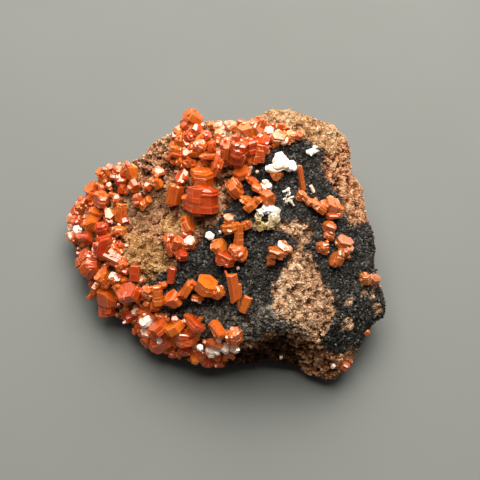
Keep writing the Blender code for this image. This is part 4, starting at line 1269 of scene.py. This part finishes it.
def crystal_loft(random, crystal, sides, bevel, matrix):
    """A crystal's points and faces: its section lofted along its growth rings, with facets on its ends."""
    width, length = crystal.width * MM, crystal.length * MM
    outline = section(random, sides, 0.2) * random.uniform(0.76, 1.08, 2)
    if sides == SLIVER_SIDES:
        outline = outline * (1, 0.3)
    rings = growth_rings(random, width, length, bevel)
    count = len(outline)
    points = []
    for height, share in rings:
        shift = random.uniform(-0.012, 0.012, 2) * width
        flat = outline * share * width / 2 + shift
        points.append(np.column_stack((flat, np.full(count, height))))
    points = np.concatenate(points)
    faces = [tuple(range(count))[::-1]]
    for ring in range(len(rings) - 1):
        first, second = ring * count, (ring + 1) * count
        for corner in range(count):
            after = (corner + 1) % count
            faces.append((first + corner, first + after, second + after, second + corner))
    faces.append(tuple(range(len(points) - count, len(points))))
    if sides == 6 and crystal.width < WHOLE_WIDTH:
        points, faces = with_facets(random, points, faces, width, length)
    points, faces, gaps = with_middles(points, faces)
    inner = points / (width / 2, width / 2, length / 2)
    points = points @ np.array(matrix.to_3x3()).T + np.array(matrix.translation)
    return points, faces, gaps, inner


class Grown(NamedTuple):
    """A crystal made into points and faces, with its middle and what its material reads at each point."""

    middle: Vector
    points: np.ndarray
    faces: list
    gaps: np.ndarray
    inner: np.ndarray
    tone: np.ndarray
    stain: np.ndarray


def rust_of(crystal):
    """How far a crystal is stained all over."""
    if crystal.y < RUST_LEAST_Y:
        return 0.0
    rightward = float(smooth_step(np.array(crystal.x, float), RUST_FROM_X, RUST_TO_X))
    frontward = float(smooth_step(np.array(crystal.y, float), RUST_FROM_Y, RUST_TO_Y))
    return rightward * (0.4 + 0.5 * frontward)


def companions(random, crystal, matrix):
    """A crystal and the smaller ones grown into its sides, almost parallel to it, each with its matrix."""
    members = [(crystal, matrix)]
    whole = crystal.width >= WHOLE_WIDTH
    count = int(random.integers(2, 4) if whole else random.integers(3, 7))
    for _ in range(count if crystal.width >= LEAST_PARENT_WIDTH else 0):
        size, depth = random.uniform(0.25, 0.6), random.uniform(0.4, 1.0)
        size = 0.5 + size / 2 if whole else size
        near = 0.5 if whole else 1
        child = crystal._replace(width=crystal.width * size, length=crystal.length * depth)
        angle = random.uniform(0, tau)
        out = near * crystal.width * MM * random.uniform(0.2, 0.42)
        along = crystal.length * MM * random.uniform(-0.35, 0.35)
        shift = Matrix.Translation((out * cos(angle), out * sin(angle), along))
        lean = Euler([float(part) for part in random.normal(0, 0.12, 3)]).to_matrix().to_4x4()
        members.append((child, matrix @ shift @ lean))
    return members


def splinters(random, crystal, matrix, count, lean, least):
    """The thin plates that a blade is a tuft of, each with its matrix."""
    members = []
    for _ in range(count):
        width, length = crystal.width * random.uniform(least, 1.1), random.uniform(0.14, 0.3)
        plate = crystal._replace(width=width, length=length)
        steps = random.uniform(-0.3, 0.3, 3).tolist()
        shift = Matrix.Translation([step * crystal.width * MM for step in steps])
        turn = Euler([float(part) for part in random.uniform(-lean, lean, 3)]).to_matrix().to_4x4()
        members.append((plate, matrix @ shift @ turn))
    return members


def joined_faces(shapes, sizes):
    """The faces of several shapes of so many points, numbered for their points in one list."""
    starts = np.cumsum([0, *sizes]).tolist()
    return [[start + corner for corner in face] for start, faces in zip(starts, shapes) for face in faces]


def grow_crystal(seed, crystal, sides, bevel, site, members_of=companions):
    """Seats a crystal on the rock as its solid is, and makes the points and faces of its members.

    Its random numbers are its own, so that no other crystal changes its shape.
    """
    random = np.random.default_rng((seed, round(100 * crystal.x), round(100 * crystal.y)))
    spot = seat_on_rock(crystal, site.rock_tree)
    plane, normal = resting_plane(crystal, spot, site.rock_tree)
    middle = crystal_middle(crystal, spot, plane, normal)
    members = members_of(random, crystal, Matrix.Translation(middle) @ crystal_turn(crystal, site.mirror))
    lofts = [crystal_loft(random, member, sides, bevel, matrix) for member, matrix in members]
    shapes, faces, gaps, inner = zip(*lofts)
    sizes = [len(shape) for shape in shapes]
    points = np.concatenate(shapes)
    tone = random.uniform(0.0, 0.7) if crystal.tone is None else crystal.tone
    tones = np.concatenate([np.full(size, tone + random.normal(0, 0.1)) for size in sizes])
    rise = (points - np.array(spot)) @ np.array(normal)
    # Painted shade with some stain: each crystal darkens towards its foot on the rock
    foot = 1 - smooth_step(rise, 0, FOOT_SHADE_REACH)
    stain = np.clip(rust_of(crystal) + 0.4 * foot, 0, 1) * (1 + min(tone, 0))
    return Grown(
        middle, points, joined_faces(faces, sizes), np.concatenate(gaps), np.concatenate(inner),
        np.clip(tones, -1, 1), stain,
    )


def joined_mesh(name, crystals):
    """One mesh of several crystals."""

    def joined(part):
        """What all the crystals hold under this name, in one array."""
        return np.concatenate([getattr(grown, part) for grown in crystals])

    mesh = bpy.data.meshes.new(name)
    sizes = [len(grown.points) for grown in crystals]
    mesh.from_pydata(joined("points").tolist(), [], joined_faces([grown.faces for grown in crystals], sizes))
    set_shares(mesh, {"tone": joined("tone"), "stain": joined("stain")})
    gaps = mesh.attributes.new("edge_gap", "FLOAT", "CORNER")
    gaps.data.foreach_set("value", joined("gaps").astype(np.float32))
    inner = mesh.attributes.new("inner", "FLOAT_VECTOR", "POINT")
    inner.data.foreach_set("vector", joined("inner").astype(np.float32).ravel())
    return mesh


def add_crystals(name, crystals, material, slot, *nodes):
    """Adds one piece that is made of these crystals and stands for these CAD nodes."""
    finish_piece(link_object(name, joined_mesh(name, crystals)), material, slot, *nodes)


def group_by_node(crystals, nodes):
    """The crystals that each of these CAD nodes holds, by the surface nearest to a crystal's middle."""
    trees = {node: tree_of(node) for node in nodes}
    held = {node: [] for node in nodes}
    for grown in crystals:
        held[min(nodes, key=lambda node: trees[node].find_nearest(grown.middle)[3])].append(grown)
    empty = [node for node, members in held.items() if not members]
    if empty:
        raise RuntimeError(f"no crystal stands for {', '.join(empty)}")
    return held


def turn_and_facing(axis):
    """An axis as its turn round the photograph and its facing out of it, in degrees."""
    axis = axis if axis.dot(TOWARDS) > 0 else -axis
    return degrees(atan2(axis.dot(UP), axis.dot(RIGHT))), degrees(asin(axis.dot(TOWARDS)))


def small_crystals(random, outline, taken, tries, mirror):
    """Small crystals at random inside an outline, clear of the middles of those already there."""
    corners = np.array(outline, float)
    grown = []
    middles = [(crystal.x, crystal.y, crystal.width) for crystal in taken]
    for x, y in random.uniform(corners.min(axis=0), corners.max(axis=0), (tries, 2)).tolist():
        width = random.uniform(*SMALL_WIDTHS)
        turn, facing = random.uniform(0, 360), random.uniform(15, 70)
        kind = random.random()
        if kind < FLASH_SHARE:
            turn, facing = random.normal(turn_and_facing(mirror), FLASH_SPREAD)
        elif kind < FLASH_SHARE + LYING_SHARE:
            around = Matrix.Rotation(random.uniform(0, tau), 3, mirror)
            turn, facing = turn_and_facing(around @ mirror.orthogonal().normalized())
        length = width * random.uniform(*SMALL_LENGTHS)
        inside = reach_inside(np.array([[x, y]]), outline)[0] >= 0
        if inside and all(dist((x, y), middle) >= 1.1 * (width + size) for *middle, size in middles):
            middles.append((x, y, width))
            grown.append(Crystal(x, y, width, length, turn, facing))
    return grown


class BuildStage(bpy.types.Operator):
    """Sets the card floor, the light, the sky and the photograph's camera"""

    bl_idname = "specimen.build_stage"
    bl_label = "Build Stage"

    def execute(self, context):
        settings = context.scene.specimen_stage
        shape = bmesh.new()
        bmesh.ops.create_circle(shape, cap_ends=True, segments=96, radius=settings.floor_radius)
        bmesh.ops.translate(shape, verts=shape.verts, vec=(0, 0, -CARD_GAP))
        mesh = bpy.data.meshes.new("card_floor")
        shape.to_mesh(mesh)
        shape.free()
        floor = link_object("card_floor", mesh)
        floor.data.materials.append(build_floor_material(settings))

        for kind in ("key", "fill"):
            power, size, elevation, azimuth = (
                getattr(settings, f"{kind}_{part}") for part in ("power", "size", "elevation", "azimuth")
            )
            lamp = bpy.data.lights.new(f"{kind}_light", "AREA")
            lamp.energy, lamp.size = power, size
            lamp.color = settings.light_colour
            light = link_object(f"{kind}_light", lamp)
            away = way_to_light(elevation, azimuth)
            light.location = LOOK_AT + away * settings.light_distance
            light.rotation_euler = away.to_track_quat("Z", "Y").to_euler()

        context.scene.world = build_sky(settings)
        context.scene.view_settings.view_transform = "Standard"

        camera = link_object("photo_camera", bpy.data.cameras.new("photo_camera"))
        camera.data.sensor_width = SENSOR_WIDTH
        camera.data.lens = SENSOR_WIDTH * VIEW_DISTANCE / (PHOTO_PIXELS * PIXEL)
        camera.data.clip_start = 1 * MM
        camera.location = EYE
        camera.rotation_euler = TOWARDS.to_track_quat("Z", "Y").to_euler()
        context.scene.camera = camera
        return {"FINISHED"}


class BuildRock(bpy.types.Operator):
    """Builds the rock's skin, with its coatings"""

    bl_idname = "specimen.build_rock"
    bl_label = "Build Rock"

    def execute(self, context):
        settings = context.scene.specimen_rock
        surface = make_rock_surface(settings.voxel)
        finish_piece(surface, build_rock_material(settings), "rock", "rock")
        return {"FINISHED"}


class BuildCrumbs(bpy.types.Operator):
    """Fuses crumbs on the brown rock and finer grains on the black crust"""

    bl_idname = "specimen.build_crumbs"
    bl_label = "Build Crumbs"

    def execute(self, context):
        settings = context.scene.specimen_rock
        surface = bpy.data.objects["rock_surface"]
        material = surface.data.materials[0]
        points, normals = points_of(surface.data), normals_of(surface.data)
        crust, calm, rise = (read_values(surface.data, name) for name in ("crust", "calm", "rise"))
        clear = smooth_step(points[:, 2], *CRUMB_FADE)
        face = 0.35 + smooth_step(normals @ np.array(TOWARDS), -0.2, 0.3)
        random = np.random.default_rng(CRUMB_SEED)
        for name, weight, count, sizes in (
            ("brown_crumbs", clear * face * (1 - crust) * (0.2 + rise), settings.crumbs, BROWN_SIZES),
            ("fine_crumbs", clear * (1 - crust) * calm, settings.fine_crumbs, FINE_SIZES),
            ("soot_grains", clear * crust, settings.soot, SOOT_SIZES),
        ):
            finish_piece(make_crumbs(name, random, surface, weight, count, *sizes), material, "rock")
        return {"FINISHED"}


class BuildCrystals(bpy.types.Operator):
    """Grows the placed vanadinite crystals, one piece for each packed group"""

    bl_idname = "specimen.build_crystals"
    bl_label = "Build Crystals"

    def execute(self, context):
        settings = context.scene.specimen_crystals
        site = survey_site(context)
        seeds = [Crystal(*row) for row in PLACED_CRYSTALS]
        grown = [grow_crystal(PLACED_SEED, seed, 6, settings.bevel, site) for seed in seeds]
        material = build_crystal_material(settings)
        nodes = [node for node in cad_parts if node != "rock" and not node.startswith("pale_")]
        for node, members in group_by_node(grown, nodes).items():
            add_crystals(f"{node}_crystals", members, material, "vanadinite", node)
        return {"FINISHED"}


class BuildDruses(bpy.types.Operator):
    """Grows small crystals between the placed ones, one piece for each field"""

    bl_idname = "specimen.build_druses"
    bl_label = "Build Druses"

    def execute(self, context):
        settings = context.scene.specimen_crystals
        site = survey_site(context)
        random = np.random.default_rng(DRUSE_SEED)
        placed = [Crystal(*row) for row in PLACED_CRYSTALS + CHIPS]
        seed_sets = {
            name: small_crystals(random, outline, placed, settings.small, site.mirror)
            for name, outline in DRUSE_FIELDS.items()
        }
        seed_sets["mirror_chips"] = [Crystal(*row) for row in CHIPS]
        for name, seeds in seed_sets.items():
            grown = [grow_crystal(DRUSE_SEED, seed, 6, settings.bevel * 0.7, site) for seed in seeds]
            add_crystals(name, grown, bpy.data.materials[CRYSTAL_MATERIAL], "vanadinite")
        return {"FINISHED"}


class BuildBlades(bpy.types.Operator):
    """Grows the pale barite blades, one piece for each packed group"""

    bl_idname = "specimen.build_blades"
    bl_label = "Build Blades"

    def execute(self, context):
        settings = context.scene.specimen_blades
        site = survey_site(context)
        material = build_blade_material(settings)
        for node, (blades, count, sides, lean, least) in TUFTS.items():
            plates = partial(splinters, count=count, lean=lean, least=least)
            seeds = [Crystal(*row) for row in blades]
            grown = [grow_crystal(BLADE_SEED, seed, sides, settings.bevel, site, plates) for seed in seeds]
            add_crystals(f"{node}_plates", grown, material, "barite", node)
        return {"FINISHED"}


class SpecimenPanel(bpy.types.Panel):
    """Lists the specimen's settings and the steps that build it"""

    bl_idname = "VIEW3D_PT_specimen"
    bl_label = "Vanadinite Specimen"
    bl_space_type = "VIEW_3D"
    bl_region_type = "UI"
    bl_category = "Specimen"

    def draw(self, context):
        for owner, steps in PANEL_ROWS:
            box = self.layout.box()
            settings = getattr(context.scene, owner)
            for name in settings.bl_rna.properties.keys():
                if name not in ("rna_type", "name"):
                    box.prop(settings, name)
            for step in steps:
                box.operator(step.bl_idname)


SETTINGS = {
    "specimen_stage": StageSettings,
    "specimen_rock": RockSettings,
    "specimen_crystals": CrystalSettings,
    "specimen_blades": BladeSettings,
}
PANEL_ROWS = (
    ("specimen_stage", (BuildStage,)),
    ("specimen_rock", (BuildRock, BuildCrumbs)),
    ("specimen_crystals", (BuildCrystals, BuildDruses)),
    ("specimen_blades", (BuildBlades,)),
)
CLASSES = (
    *SETTINGS.values(),
    BuildStage,
    BuildRock,
    BuildCrumbs,
    BuildCrystals,
    BuildDruses,
    BuildBlades,
    SpecimenPanel,
)


def register():
    """Registers the classes and gives each scene its settings."""
    for kind in CLASSES:
        bpy.utils.register_class(kind)
    for name, kind in SETTINGS.items():
        setattr(bpy.types.Scene, name, PointerProperty(type=kind))


def unregister():
    """Takes away what register gave."""
    for name in SETTINGS:
        delattr(bpy.types.Scene, name)
    for kind in reversed(CLASSES):
        bpy.utils.unregister_class(kind)


def main():
    """Builds the stage and the specimen."""
    register()
    bpy.ops.specimen.build_stage()
    bpy.ops.specimen.build_rock()
    bpy.ops.specimen.build_crumbs()
    bpy.ops.specimen.build_crystals()
    bpy.ops.specimen.build_druses()
    bpy.ops.specimen.build_blades()


if __name__ == "__main__":
    main()
